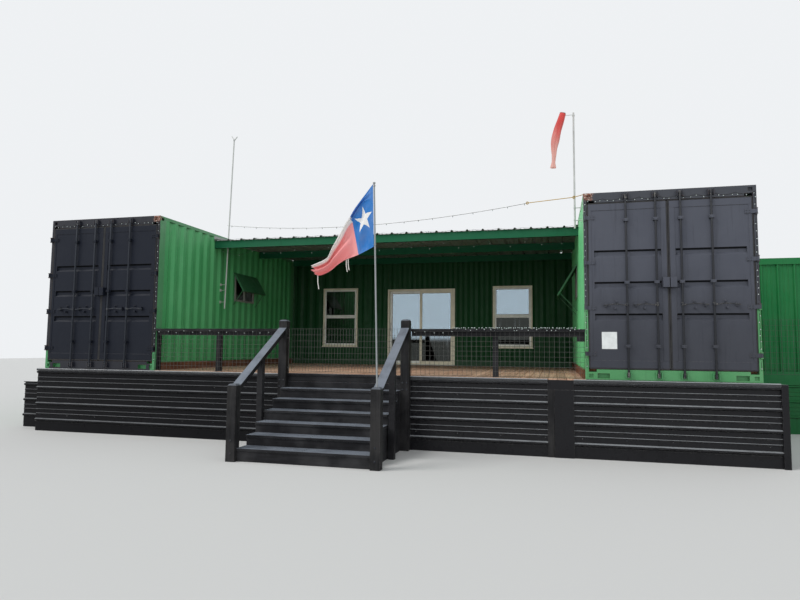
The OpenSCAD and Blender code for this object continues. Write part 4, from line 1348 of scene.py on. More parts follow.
@dataclass
class CargoLeaf(DoorPart):
    """The raised border, seals, hinge bolts and catches of one leaf."""

    border: float = 0.006
    seal: float = 0.014
    foot_bar: float = 0.13
    head_bar: float = 0.12
    seam_bar: float = 0.094
    hinge_bar: float = 0.06

    def build(self) -> None:
        """Fits the leaf out in its paint, with its seals in rubber."""
        fit_out(self.raised_border(), self.paint, self.leaf)
        fit_out(self.seals(), Paint.rubber, self.leaf)
        fit_out(self.bolts(), self.paint, self.leaf)
        fit_out(self.catches(), self.paint, self.leaf)

    def raised_border(self) -> Piece:
        """The leaf's outer tubes, which stand proud of its panel and show a weld line.

        Returns:
            The border.
        """
        edge = self.seal + 0.004
        front = (-self.border, 0.0005)
        ends = (DOOR.low + edge, DOOR.low + self.foot_bar), (DOOR.top - self.head_bar, DOOR.top - edge)
        sides = (DOOR.seam + edge, DOOR.seam + self.seam_bar), (DOOR.hinge - self.hinge_bar, DOOR.hinge - edge)
        bars = [self.bar("end_bar", (DOOR.seam + edge, DOOR.hinge - edge), front, z) for z in ends]
        bars += [self.bar("side_bar", u, front, (ends[0][1], ends[1][0])) for u in sides]
        welds = [self.bar("weld", (sides[0][1], sides[1][0]), (-0.004, 0.0), (z - 0.004, z + 0.004))
                 for z in (ends[0][1], ends[1][0])]
        return join(self.leaf + "_border", [soften(bar, 0.004) for bar in bars]
                    + [soften(weld, 0.002, 1) for weld in welds])

    def seals(self) -> Piece:
        """Rubber strips round the leaf's edge, with a rib along each.

        Returns:
            The seals.
        """
        across, z = (DOOR.seam, DOOR.hinge), (DOOR.low + 0.001, DOOR.top - 0.001)
        strips = [self.bar("seal", run, (-0.004, 0.0), height) for run, height in (
            ((DOOR.seam - 0.003, DOOR.seam + self.seal), z), ((DOOR.hinge - self.seal, DOOR.hinge - 0.001), z),
            (across, (z[0], z[0] + self.seal)), (across, (z[1] - self.seal, z[1])))]
        for strip in strips:
            with edit(strip, facing(AHEAD)):
                bpy.ops.mesh.inset(thickness=0.004, depth=0.003)
        return join(self.leaf + "_seals", strips)

    def bolts(self) -> Piece:
        """Bolt heads on the hinge blades and on the rod brackets.

        Returns:
            The bolt heads.
        """
        blades = [self.place(DOOR.hinge - back, -0.0105, z + rise) for z in DOOR.hinges
                  for back in (0.09, 0.05) for rise in (-0.017, 0.017)]
        brackets = [self.place(rod + off, -0.062, z + 0.022) for rod in DOOR.rods for z in DOOR.brackets
                    for off in (-0.025, 0.025)]
        return join(self.leaf + "_bolts", [heads("blade_bolts", blades, AHEAD, 0.009, 0.006),
                                           heads("bracket_bolts", brackets, AHEAD, 0.0075, 0.005)])

    def catches(self) -> Piece:
        """A small catch over the middle of each handle, and the hook under it.

        Returns:
            The catches.
        """
        parts = []
        for middle in (rod + 0.155 for rod in DOOR.rods):
            plate = self.bar("catch_plate", (middle - 0.025, middle + 0.025), (-0.008, 0.0), (1.165, 1.208))
            knob = round_bar("catch_knob", self.place(middle, -0.008, 1.188), self.place(middle, -0.034, 1.188), 0.011)
            hook = self.bar("catch_hook", (middle + 0.01, middle + 0.034), (-0.05, 0.0), (1.07, 1.102))
            parts += [soften(plate, 0.003), soften(knob, 0.003), soften(hook, 0.004)]
        return join(self.leaf + "_catches", parts)


@dataclass
class LockRod(DoorPart):
    """One lock rod with its cams, collar and bowed handle, which turns on its leaf."""

    number: int
    across: float
    end_gap: float = 0.041
    cam_gap: float = 0.045
    cam_h: float = 0.066
    collar_r: float = 0.0245
    collar_h: float = 0.022
    bow: float = 0.016

    def build(self) -> None:
        """Models the rod in place of the model's plain one."""
        body = f"{self.side.word}_rod_{self.number}"
        rod = join(body + "_steel", [self.shaft(), *self.cams(), *self.hub(), self.handle()])
        fit_out(smooth(rod, 40.0), self.paint, body, [body])

    def upright(self, name: str, low: float, high: float, radius: float, rounding: float) -> Piece:
        """A round bar on the rod's axis, rounded at its ends.

        Args:
            name: The bar's name.
            low: The height of its foot.
            high: The height of its head.
            radius: Its radius.
            rounding: How far its ends are rounded.

        Returns:
            The bar.
        """
        bar = round_bar(name, self.place(self.across, DOOR.rod_y, low), self.place(self.across, DOOR.rod_y, high),
                        radius, 20)
        return soften(bar, rounding, 2, 60.0)

    def shaft(self) -> Piece:
        """The long tube of the rod."""
        return self.upright("shaft", self.end_gap, CABIN.box_h - self.end_gap, DOOR.rod_r - 0.0005, 0.004)

    def cams(self) -> list[Piece]:
        """Hooked cams at both ends of the rod.

        Returns:
            The two cams.
        """
        made = []
        for low in (self.cam_gap, CABIN.box_h - self.cam_gap - self.cam_h):
            cam = self.bar("cam", (self.across - 0.015, self.across + 0.015), (-0.0555, -0.018),
                           (low, low + self.cam_h))
            with edit(cam, facing(BACK)):
                bpy.ops.mesh.inset(thickness=0.007, depth=0.004)
            made.append(soften(cam, 0.003))
        return made

    def hub(self) -> list[Piece]:
        """The collar that carries the handle, with its two rivets.

        Returns:
            The collar and its rivets.
        """
        rivets = [self.place(self.across + 0.03, -0.067, DOOR.handle_z + rise) for rise in (-0.008, 0.008)]
        collar = self.upright("collar", DOOR.handle_z - self.collar_h, DOOR.handle_z + self.collar_h, self.collar_r,
                              0.004)
        return [collar, heads("rivets", rivets, AHEAD, 0.005, 0.003)]

    def handle(self) -> Piece:
        """The flat handle, bowed up in its middle.

        Returns:
            The handle.
        """
        bar = self.bar("handle", (self.across - 0.01, self.across + DOOR.handle_l), (-0.067, -0.056),
                       (DOOR.handle_z - 0.016, DOOR.handle_z))
        with edit(bar, lambda line: abs(line.verts[0].co.x - line.verts[1].co.x) > 0.3, "EDGE"):
            bpy.ops.mesh.subdivide(number_cuts=13)
        start = self.place(self.across, 0, 0).x
        for corner in bar.data.vertices:
            share = min(abs(corner.co.x - start) / DOOR.handle_l, 1.0)
            corner.co.z += self.bow * math.sin(math.pi * share) ** 2
        return soften(bar, 0.003, 2, 50.0)


@dataclass
class CargoDoors:
    """Both leaves of a side container with their four rods."""

    side: Side
    paint: Finish
    rod_paint: Finish

    def build(self) -> None:
        """Fits out the leaves and models the rods."""
        for outer in (True, False):
            CargoLeaf(self.side, outer, self.paint).build()
        order = [(False, 0.6), (False, 0.175), (True, 0.175), (True, 0.6)][::self.side.value]
        for number, (outer, across) in enumerate(order, start=1):
            LockRod(self.side, outer, self.rod_paint, number, across).build()
        if self.side is Side.RIGHT:
            self.blank_plate()

    def blank_plate(self) -> None:
        """The bare white plate low on the inner leaf, with its rivets."""
        part = DoorPart(self.side, False, self.paint)
        plate = soften(part.bar("plate", (0.754, 0.975), (-0.004, 0.0), (0.466, 0.726)), 0.0015)
        corners = [part.place(u, -0.004, z) for u in (0.766, 0.963) for z in (0.478, 0.714)]
        piece = join("right_inner_leaf_plate", [plate, heads("rivets", corners, AHEAD, 0.004, 0.002)])
        fit_out(piece, Paint.plate_white, part.leaf)


@dataclass
class PorchDeck:
    """Deck boards that run from the front to the rear container."""

    boards: int = 54
    gap: float = 0.006

    def build(self) -> None:
        """Lays the boards in place of the model's plain deck."""
        low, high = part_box("deck_boards")
        pitch = (high.x - low.x + self.gap) / self.boards
        board = long_board("plank", low, Vector((low.x + pitch - self.gap, high.y, high.z)), 0.0035)
        fit_out(row("deck_planks", board, self.boards, pitch), Paint.deck_brown,
                replaces=["deck_boards"])
        screws = [at(-CABIN.half + pitch * (i + share), y, CABIN.base) for i in range(self.boards)
                  for share in (0.2, 0.74) for y in (0.02, 1.0, 2.9, 5.05)]
        fit_out(heads("deck_screws", screws, UP, 0.005), Paint.stair_black)


@dataclass
class Stair:
    """Two boards to a tread, the boards that close the risers, and the bolts of its newels."""

    risers: int = 7
    going: float = 0.28
    first: float = 0.19
    last: float = 0.235
    nosing: float = 0.022
    thick: float = 0.038
    riser_t: float = 0.02
    gap: float = 0.004
    edge: float = 0.03
    left: float = CABIN.mid - CABIN.stair_w / 2
    right: float = CABIN.mid + CABIN.stair_w / 2

    def tread(self, k: int) -> float:
        """The height of a tread's top face above the ground.

        Args:
            k: The tread's number, where nought is the ground.

        Returns:
            The height.
        """
        if k <= 0:
            return 0.0
        if k >= self.risers:
            return CABIN.base
        return self.first + (k - 1) * (CABIN.base - self.first - self.last) / (self.risers - 2)

    def build(self) -> None:
        """Boards the treads and risers in place of the model's plain ones, and bolts the newels."""
        treads, screws = [], []
        for k in range(1, self.risers + 1):
            front = CABIN.stair_y + (k - 1) * self.going - self.nosing
            depth, rows = (self.nosing + self.going, (0.25, 0.75)) if k < self.risers else (self.nosing + 0.038, (0.5,))
            count = len(rows)
            wide = (depth - (count - 1) * self.gap) / count
            for y in (front + i * (wide + self.gap) for i in range(count)):
                treads.append(long_board("tread", at(self.left, y, self.tread(k) - self.thick),
                                         at(self.right, y + wide, self.tread(k)), 0.005))
                screws += [at(x, y + wide * share, self.tread(k))
                           for x in (self.left + self.edge, CABIN.mid, self.right - self.edge) for share in rows]
        fit_out(join("tread_boards", treads), Paint.stair_black, replaces=["stair_treads"])
        fit_out(heads("tread_screws", screws, UP, 0.006), Paint.left_rods)
        fit_out(self.riser_boards(), Paint.stair_black, replaces=["stair_risers"])
        newels = [at(CABIN.mid + side * CABIN.newel_x + off, -CABIN.newel_w, z) for side in (-1, 1)
                  for off in (-0.035, 0.035) for z in (0.98, 1.09)]
        feet = [at(CABIN.mid + side * CABIN.newel_x, CABIN.stair_y - CABIN.newel_w / 2, z) for side in (-1, 1)
                for z in (0.12, 0.3)]
        fit_out(heads("newel_bolts", newels + feet, AHEAD, 0.014, 0.007), Paint.left_rods)

    def riser_boards(self) -> Piece:
        """Boards between the treads, two of them under the deck.

        Returns:
            The boards.
        """
        boards = []
        for k in range(self.risers):
            y = CABIN.stair_y + k * self.going
            cuts = [self.tread(k) - self.thick if k else 0.0, self.tread(k + 1) - self.thick]
            if k == self.risers - 1:
                cuts.insert(1, self.tread(k) + 0.1)
            for low, high in zip(cuts, cuts[1:]):
                boards.append(long_board("riser", at(self.left, y, low + 0.001),
                                         at(self.right, y + self.riser_t, high - 0.003), 0.003))
        return join("riser_boards", boards)


@dataclass
class HungWindow:
    """A single hung window: an almond trim, two white sashes, seals, a lock and blinds behind."""

    x: float
    blinds: bool
    width: float = 1.01
    height: float = 1.61
    trim: float = 0.045
    sash: float = 0.044

    def place(self, x: float, y: float, z: float) -> Vector:
        """A place from the window's middle, the container wall's face and the trim's foot."""
        return at(self.x + x, CABIN.side_l + y, CABIN.base + 2.09 - self.height + z)

    def ring(self, wide: float, z: Pair, y: Pair, member: float, step: float, rise: float = 0.0) -> Piece:
        """A frame of the window, from its width, its heights and its depths."""
        return ring_frame("ring", self.place(-wide / 2, y[0], z[0]), self.place(wide / 2, y[1], z[1]), member, step,
                          rise)

    def parts(self) -> dict[str, list[Piece]]:
        """Models the window and gives its parts by finish.

        Returns:
            Lists of parts, by the name of their finish.
        """
        wide = self.width - 2 * self.trim
        rail = self.trim + (self.height - 2 * self.trim) / 2 + 0.02
        trim = self.ring(self.width, (0, self.height), (-0.012, 0.066), self.trim, 0.009, 0.003)
        low = self.ring(wide, (self.trim, rail), (0.014, 0.04), self.sash, 0.007, 0.002)
        high = self.ring(wide, (rail, self.height - self.trim), (0.002, 0.028), self.sash, 0.007, 0.002)
        sill = long_board("sill", self.place(-self.width / 2 - 0.012, -0.036, -0.012),
                          self.place(self.width / 2 + 0.012, -0.012, 0.016))
        lock = soften(block("lock", self.place(-0.03, -0.006, rail + 0.008), self.place(0.03, 0.002, rail + 0.026)),
                      0.003)
        pane = wide - 2 * self.sash
        seals = [self.ring(pane + 0.002, (foot - 0.001, head + 0.001), y, 0.006, 0.001) for foot, head, y in (
            (self.trim + self.sash, rail - self.sash, (0.018, 0.024)),
            (rail + self.sash, self.height - self.trim - self.sash, (0.006, 0.012)))]
        slats = self.blind_slats(pane, rail + self.sash) if self.blinds else []
        return {"almond": [trim, sill], "white": [low, high, lock], "seal": seals, "slats": slats}

    def blind_slats(self, wide: float, foot: float) -> list[Piece]:
        """Upright blind slats behind the upper pane, each turned a little.

        Args:
            wide: The pane's width.
            foot: The pane's lower edge.

        Returns:
            The slats.
        """
        slats, count = [], 10
        for x in (-wide / 2 + (i + 0.5) * wide / count for i in range(count)):
            slat = block("slat", self.place(x - 0.034, 0.054, foot), self.place(x + 0.034, 0.056, self.height - 0.09))
            with edit(slat, facing()):
                bpy.ops.transform.rotate(value=math.radians(9), orient_axis="Z",
                                         center_override=self.place(x, 0.055, foot))
            slats.append(soften(slat, 0.0006, 1))
        return slats


@dataclass
class RearOpenings:
    """The two hung windows and the patio door in the rear container's front wall."""

    patio_w: float = 1.84
    patio_h: float = 2.04
    trim: float = 0.05
    stile: float = 0.062

    def build(self) -> None:
        """Models the windows and adds the seals, the pull and the threshold of the patio door."""
        made: dict[str, list[Piece]] = {"almond": [], "white": [], "seal": [], "slats": []}
        for window in (HungWindow(-2.388, True), HungWindow(2.322, False)):
            for kind, parts in window.parts().items():
                made[kind] += parts
        fit_out(join("window_trims", made["almond"]), Paint.almond, replaces=["window_frames"])
        fit_out(join("window_sashes", made["white"]), Paint.white)
        fit_out(join("window_blinds", made["slats"]), Paint.blind)
        panel = (self.patio_w - 2 * self.trim) / 2 + self.stile / 2
        left, right = CABIN.mid - self.patio_w / 2, CABIN.mid + self.patio_w / 2
        fixed = self.pane_seal("seal", right - self.trim - panel + self.stile, 6.064, panel, 0.0)
        fit_out(join("glazing_seals", made["seal"] + [fixed]), Paint.rubber)
        slider = self.pane_seal("slider_seal", left + self.trim + 0.006 + self.stile, 6.1, panel, 0.005)
        fit_out(slider, Paint.rubber, "patio_slider")
        x, foot = left + self.trim, CABIN.base + self.trim
        pull = block("slider_pull", at(x + 0.018, 6.0905, foot + 0.86), at(x + 0.044, 6.096, foot + 1.09))
        fit_out(soften(pull, 0.002), Paint.bright_wire, "patio_slider")
        sill = long_board("patio_threshold", at(left, 6.02, CABIN.base), at(right, 6.0455, CABIN.base + 0.022))
        fit_out(sill, Paint.bright_wire)

    def pane_seal(self, name: str, x: float, y: float, panel: float, gap: float) -> Piece:
        """A dark glazing seal round a pane of the patio door.

        Args:
            name: The piece's name.
            x: The pane's left edge.
            y: The pane's front face.
            panel: The width of the pane with its stiles.
            gap: The panel's gap above and below.

        Returns:
            The seal.
        """
        low = CABIN.base + self.trim + self.stile + gap
        high = CABIN.base + self.patio_h - self.trim - self.stile - gap
        return ring_frame(name, at(x - 0.001, y - 0.004, low - 0.001),
                          at(x + panel - 2 * self.stile + 0.001, y + 0.002, high + 0.001), 0.007, 0.001)


@dataclass
class HatchFlap:
    """Ribs and hinge knuckles on a propped flap in a porch wall."""

    side: Side
    length: float
    tilt: float = math.radians(31)
    width: float = 1.08
    foot_y: float = 2.73
    hinge_z: float = 2.12

    def place(self, down: float, lift: float, y: float) -> Vector:
        """A place down the flap's slope, lifted off its top face, and along the wall.

        Args:
            down: How far down the slope from the hinge.
            lift: How far off the top face.
            y: How far along the wall from the flap's foot.

        Returns:
            The place.
        """
        out = 0.014 + down * math.sin(self.tilt) + lift * math.cos(self.tilt)
        z = self.hinge_z - down * math.cos(self.tilt) + lift * math.sin(self.tilt)
        return at(self.side.value * (CABIN.half - out), self.foot_y + y, CABIN.base + z)

    def parts(self) -> list[Piece]:
        """Ribs up the slope and knuckles along the hinge.

        Returns:
            The ribs and the knuckles.
        """
        ribs = [round_bar("rib", self.place(self.length - 0.05, 0.001, y), self.place(0.06, 0.001, y), 0.014, 6)
                for y in (0.09 + i * (self.width - 0.18) / 5 for i in range(6))]
        knuckles = [round_bar("knuckle", self.place(0.0, 0.012, y), self.place(0.0, 0.012, y + 0.09), 0.014)
                    for y in (0.1, 0.5, 0.9)]
        return [soften(rib, 0.002, 1) for rib in ribs] + [soften(knuckle, 0.003) for knuckle in knuckles]


@dataclass
class Hatches:
    """The fittings of both hatch flaps, from each flap's side and length."""

    flaps: tuple[tuple[Side, float], ...] = ((Side.LEFT, 0.48), (Side.RIGHT, 0.69))

    def build(self) -> None:
        """Fits the ribs and knuckles of both flaps."""
        parts = [part for side, length in self.flaps for part in HatchFlap(side, length).parts()]
        fit_out(join("hatch_ribs", parts), Paint.flap_green)


@dataclass
class PorchRoof:
    """Screws, wall flashings, rib closures and the lower lip of the fascia."""

    pitch: float = 0.305
    low_rib: float = 0.0045
    fascia_h: float = 0.16

    def top(self, y: float) -> float:
        """The height of the sheet's flat face above the ground, at a place in y."""
        return CABIN.base + CABIN.fascia_z + 0.005 + (y - CABIN.roof_set) * CABIN.roof_slope

    def build(self) -> None:
        """Adds the fittings of the roof."""
        ys = (CABIN.roof_set + 0.025, (CABIN.roof_set + CABIN.side_l) / 2 + 0.025, CABIN.side_l - 0.025)
        screws = [at(-CABIN.half + 0.11 + i * self.pitch, y, self.top(y)) for i in range(25) for y in ys]
        fit_out(heads("roof_screws", screws, UP, 0.009), Paint.bright_wire)
        foot = CABIN.base + CABIN.fascia_z + 0.002 - self.fascia_h
        edges = [long_board("edge", at(-CABIN.half, CABIN.roof_set + y0, foot + z0),
                            at(CABIN.half, CABIN.roof_set + y1, foot + z1), 0.003)
                 for y0, y1, z0, z1 in ((-0.004, 0.05, 0.0, 0.012), (-0.006, 0.0, 0.142, 0.158))]
        fit_out(join("fascia_edges", edges), Paint.fascia_green)
        fit_out(self.flashings(), Paint.roof_sheet)
        fit_out(self.closures(), Paint.rubber)

    def closures(self) -> Piece:
        """Foam plugs that close the sheet's ribs over the wall plate at the rear container.

        Returns:
            The plugs.
        """
        y = CABIN.side_l - 0.03
        foot = self.top(y) - 0.0025
        plugs = []
        for low, high, narrow, tall in ((0.0155, 0.0745, 0.43, 0.031), (0.1405, 0.1675, 0.56, self.low_rib),
                                        (0.2225, 0.2495, 0.56, self.low_rib)):
            plug = block("plug", at(low - CABIN.half, y, foot), at(high - CABIN.half, y + 0.018, foot + tall))
            with edit(plug, facing(UP)):
                bpy.ops.transform.resize(value=(narrow, 1.0, 1.0),
                                         center_override=at((low + high) / 2 - CABIN.half, y, foot))
            plugs.append(plug)
        return row("roof_closures", join("plugs", plugs), 24, self.pitch)

    def flashings(self) -> Piece:
        """Folded strips where the sheet meets the side containers' walls.

        Returns:
            The strips.
        """
        foot = CABIN.roof_set - 0.03
        low, high = self.top(foot), self.top(CABIN.side_l)
        strips = []
        for side in (-1, 1):
            strip, upstand = (block("flashing", at(side * CABIN.half, foot, low + 0.036),
                                    at(side * (CABIN.half - wide), CABIN.side_l, low + rise))
                              for wide, rise in ((0.075, 0.041), (0.003, 0.11)))
            with edit(strip, facing(Vector((side, 0, 0)))):
                bpy.ops.mesh.extrude_region_move(TRANSFORM_OT_translate={"value": (-side * 0.0015, 0, 0)})
            strips += [strip, upstand]
        joined = join("roof_flashings", strips)
        for corner in joined.data.vertices:
            corner.co.z += (high - low) * (corner.co.y - (foot + HOME.y)) / (CABIN.side_l - foot)
        return joined


@dataclass
class Skirting:
    """The skirting's folded cap, the strip over its joint, and the screws that hold its sheets."""

    cap_z: float = 1.182
    cap_runs: tuple[Pair, ...] = ((-6.4, -1.255), (1.055, 3.24), (3.63, 6.4597))
    screw_runs: tuple[Pair, ...] = ((-6.3, -1.3), (1.15, 3.2), (3.75, 6.3))
    screw_pitch: float = 0.62
    screw_rows: Point = (0.3, 0.62, 0.92)

    def caps(self) -> Piece:
        """Folded caps whose sloping lip catches the light along the skirting's top.

        Returns:
            The caps.
        """
        caps = []
        for low, high in self.cap_runs:
            cap = block("cap", at(low, -0.0445, self.cap_z - 0.03), at(high, -0.0405, self.cap_z + 0.0035))
            with edit(cap, facing(UP)):
                bpy.ops.mesh.extrude_region_move(TRANSFORM_OT_translate={"value": (0, 0.016, 0.011)})
            caps.append(soften(cap, 0.0012, 1))
        return join("skirting_caps", caps)

    def build(self) -> None:
        """Sets the caps, the strip and rows of screws on the sheets' fixing lines."""
        fit_out(self.caps(), Paint.cap_black)
        strip = long_board("skirting_joint_strip", at(3.2408, -0.0215, 0.002), at(3.3385, -0.0005, 1.034), 0.003)
        fit_out(strip, Paint.post_black)
        screws = []
        for first, last in self.screw_runs:
            count = max(round((last - first) / self.screw_pitch), 1)
            screws += [at(first + i * (last - first) / count, -0.0035, z) for i in range(count + 1)
                       for z in self.screw_rows]
        fit_out(heads("skirting_screws", screws, AHEAD, 0.008), Paint.left_rods)


@dataclass
class StringLights:
    """Dark wire hung with small frosted bulbs, which stays clear of the doors' swing."""

    wire_r: float = 0.0022
    inset: float = 0.02
    header_z: float = 2.8
    bulb_r: float = 0.0085
    bulb_z: float = -0.019
    socket_r: float = 0.0048
    socket_z: float = -0.014
    wires: list[Piece] = field(default_factory=list)
    bulbs: list[Matrix] = field(default_factory=list)

    def string(self, path: Sequence[Vector], spacing: float, sway: float, drop: Vector = DOWN,
               behind: float = math.inf) -> None:
        """Runs a wire along a path and hangs bulbs from it.

        Args:
            path: The points it follows.
            spacing: How far apart the bulbs hang.
            sway: How far, in radians, a bulb may tilt.
            drop: The way a bulb hangs.
            behind: The place in y behind which no bulb hangs.
        """
        self.wires.append(wire_run("light_wire", path, self.wire_r))
        chance = random.Random(len(path) * 7 + int(spacing * 1000))
        travelled, due = 0.0, 0.05
        for a, b in zip(path, path[1:]):
            step = (b - a).length
            while due <= travelled + step and step > 0:
                spot = a.lerp(b, (due - travelled) / step)
                lean = Vector((chance.uniform(-sway, sway), chance.uniform(-sway, sway) * 0.3, 0))
                turn = (-(drop + lean)).to_track_quat("Z", "Y").to_matrix().to_4x4()
                if spot.y < behind:
                    self.bulbs.append(Matrix.Translation(spot) @ turn)
                due += spacing * chance.uniform(0.8, 1.2)
            travelled += step

    @staticmethod
    def loops(start: Vector, end: Vector, spans: int, sag: float, steps: int = 8) -> list[Vector]:
        """A wire that hangs in loops between clips.

        Args:
            start: The first clip.
            end: The last clip.
            spans: How many loops there are.
            sag: How far the middle of a loop hangs down.
            steps: How many lengths a loop has.

        Returns:
            The points of the wire.
        """
        points = []
        for i in range(spans * steps + 1):
            within = (i % steps) / steps
            points.append(start.lerp(end, i / (spans * steps)) + DOWN * (4 * sag * within * (1 - within)))
        return points

    @staticmethod
    def coil(start: Vector, end: Vector, turns: int, wide: float, high: float) -> list[Vector]:
        """A wire wound round a flat rail that runs along x.

        Args:
            start: The middle of the rail at one end.
            end: The middle of the rail at the other end.
            turns: How often the wire goes round.
            wide: Half the rail's width with the wire on it.
            high: Half the rail's height with the wire on it.

        Returns:
            The points of the wire.
        """
        corners = [(-wide, high), (0.0, high + 0.001), (wide, high), (wide, -high), (0.0, -high), (-wide, -high)]
        count = turns * len(corners)
        return [start.lerp(end, i / count) + Vector((0, *corners[i % len(corners)])) for i in range(count + 1)]

    def door_end(self, side: Side, both_posts: bool) -> None:
        """Runs a string up the posts and along the header of a container, behind its hinges.

        Args:
            side: The side container.
            both_posts: If the outer post has one too.
        """
        def spot(out: float, z: float, y: float = -0.0035) -> Vector:
            """A place out from the container's porch side, up from its base."""
            return at(side.value * (CABIN.half + out), y, CABIN.base + z)

        def post(near: float, edge: float) -> list[Vector]:
            """The way up a post and round its edge behind each hinge.

            Args:
                near: How far out the string runs.
                edge: How far out it goes round a hinge.

            Returns:
                The points of the wire.
            """
            points = [spot(near, 0.17)]
            for hinge in DOOR.hinges:
                points += [spot(near, hinge - 0.1), spot(edge, hinge - 0.06, 0.008), spot(edge, hinge + 0.06, 0.008),
                           spot(near, hinge + 0.1)]
            return points + [spot(near, 2.76)]

        head = self.loops(spot(self.inset, self.header_z), spot(CABIN.box_w - self.inset, self.header_z), 9, 0.03)
        front = at(0.0, -0.001, 0.0).y
        self.string(post(self.inset, -0.003) + head[:1], 0.1, 0.5, behind=front)
        self.string(head, 0.1, 0.9)
        if both_posts:
            self.string(post(CABIN.box_w - self.inset, CABIN.box_w + 0.003) + head[-1:], 0.1, 0.5, behind=front)

    def build(self) -> None:
        """Hangs every string and models the bulbs once, copied to their places."""
        self.door_end(Side.RIGHT, True)
        self.door_end(Side.LEFT, False)
        rail = CABIN.base + CABIN.rail_h - 0.019
        self.string(self.coil(at(1.75, CABIN.rail_y, rail), at(3.72, CABIN.rail_y, rail), 34, 0.0725, 0.0215),
                    0.085, 0.9, UP)
        eaves = CABIN.base + CABIN.fascia_z
        for first, last, y, z, spans, sag, spacing in (
                (1.08, 1.75, -0.0225, rail, 3, 0.03, 0.16), (-3.76, -1.3, -0.0225, rail, 9, 0.04, 0.17),
                (-3.74, 3.72, 1.893, eaves + 0.035, 16, 0.02, 0.3), (-3.72, 3.72, 2.02, eaves - 0.17, 9, 0.12, 0.36)):
            self.string(self.loops(at(first, y, z), at(last, y, z), spans, sag), spacing, 0.5)
        fit_out(join("light_wires", self.wires), Paint.rubber)
        self.lamps()

    def lamps(self) -> None:
        """The pear-shaped bulbs and their flared sockets."""
        middle, foot = (0, 0, self.bulb_z), Vector((0, 0, self.socket_z))
        drop_selection()
        bpy.ops.mesh.primitive_uv_sphere_add(segments=8, ring_count=5, radius=self.bulb_r, location=middle)
        bulb = settle("bulb")
        with edit(bulb, facing(UP, least=0.3)):
            bpy.ops.transform.resize(value=(0.82, 0.82, 1.3), center_override=middle)
        fit_out(repeat("light_bulbs", smooth(bulb, 80.0), self.bulbs), Paint.bulb)
        socket = round_bar("socket", foot, Vector((0, 0, 0.003)), self.socket_r, 6)
        with edit(socket, facing(DOWN)):
            bpy.ops.transform.resize(value=(1.3, 1.3, 1.0), center_override=foot)
        fit_out(repeat("light_sockets", socket, self.bulbs), Paint.rubber)


@dataclass
class StayLine:
    """The taut line from the right container's corner past its mast to the left mast, with bulbs."""

    corner: Point = (3.83, 0.03, 4.092)
    mast: Point = (3.685, 0.39, 4.142)
    rope_end: Point = (2.93, 0.56, 4.125)
    left: Point = (-3.61, 2.058, 4.31)
    sag: float = 0.2

    def build(self, lights: StringLights) -> None:
        """Runs the rope and the line, and hangs bulbs along the line.

        Args:
            lights: The string lights, which take the line's bulbs along.
        """
        corner, mast, end, left = (at(*place) for place in (self.corner, self.mast, self.rope_end, self.left))
        rope = wire_run("stay_rope", [corner, mast, end], 0.006, 8)
        knots = [wire_run("knot", self.turns(place), 0.005) for place in (mast, end)]
        fit_out(join("stay_rope", [rope, *knots]), Paint.rope)
        path = lights.loops(end, left, 1, self.sag, 40)
        fit_out(wire_run("stay_line", path, 0.0028), Paint.bright_wire)
        lights.string([point + DOWN * 0.004 for point in path], 0.33, 0.2)

    @staticmethod
    def turns(place: Vector) -> list[Vector]:
        """A few tight turns of rope round a place."""
        return [place + Vector((0.02 * math.cos(a), 0.004 * a / math.pi - 0.01, 0.02 * math.sin(a)))
                for a in (math.tau * i / 10 for i in range(31))]


def smooth_line(points: Sequence[Pair], share: float) -> Pair:
    """A point on a smooth line through given points.

    Args:
        points: Places in two measures, in order.
        share: How far along the line, from 0 to 1.

    Returns:
        The two measures there.
    """
    lengths = [math.dist(a, b) for a, b in zip(points, points[1:])]
    left = share * sum(lengths)
    i = 0
    while i < len(lengths) - 1 and left > lengths[i]:
        left -= lengths[i]
        i += 1
    t = min(left / lengths[i], 1.0)
    p0, p1, p2, p3 = points[max(i - 1, 0)], points[i], points[i + 1], points[min(i + 2, len(points) - 1)]
    return tuple(0.5 * (2 * b + (c - a) * t + (2 * a - 5 * b + 4 * c - d) * t ** 2 + (3 * b - a - 3 * c + d) * t ** 3)
                 for a, b, c, d in zip(p0, p1, p2, p3))


def cloth_grid(name: str, columns: int, rows: int, shape: Callable[[float, float], Vector]) -> Piece:
    """A grid of cloth bent to a form, with its flat place kept as its UV.

    Args:
        name: The piece's name.
        columns: Faces along the first measure.
        rows: Faces along the second measure.
        shape: The place of a point, from its two shares of the cloth.

    Returns:
        The cloth, shaded smooth.
    """
    drop_selection()
    bpy.ops.mesh.primitive_grid_add(x_subdivisions=columns, y_subdivisions=rows, size=1.0)
    cloth = settle(name)
    for corner in cloth.data.vertices:
        corner.co = shape(corner.co.x + 0.5, corner.co.y + 0.5)
    bpy.ops.object.shade_smooth()
    return cloth


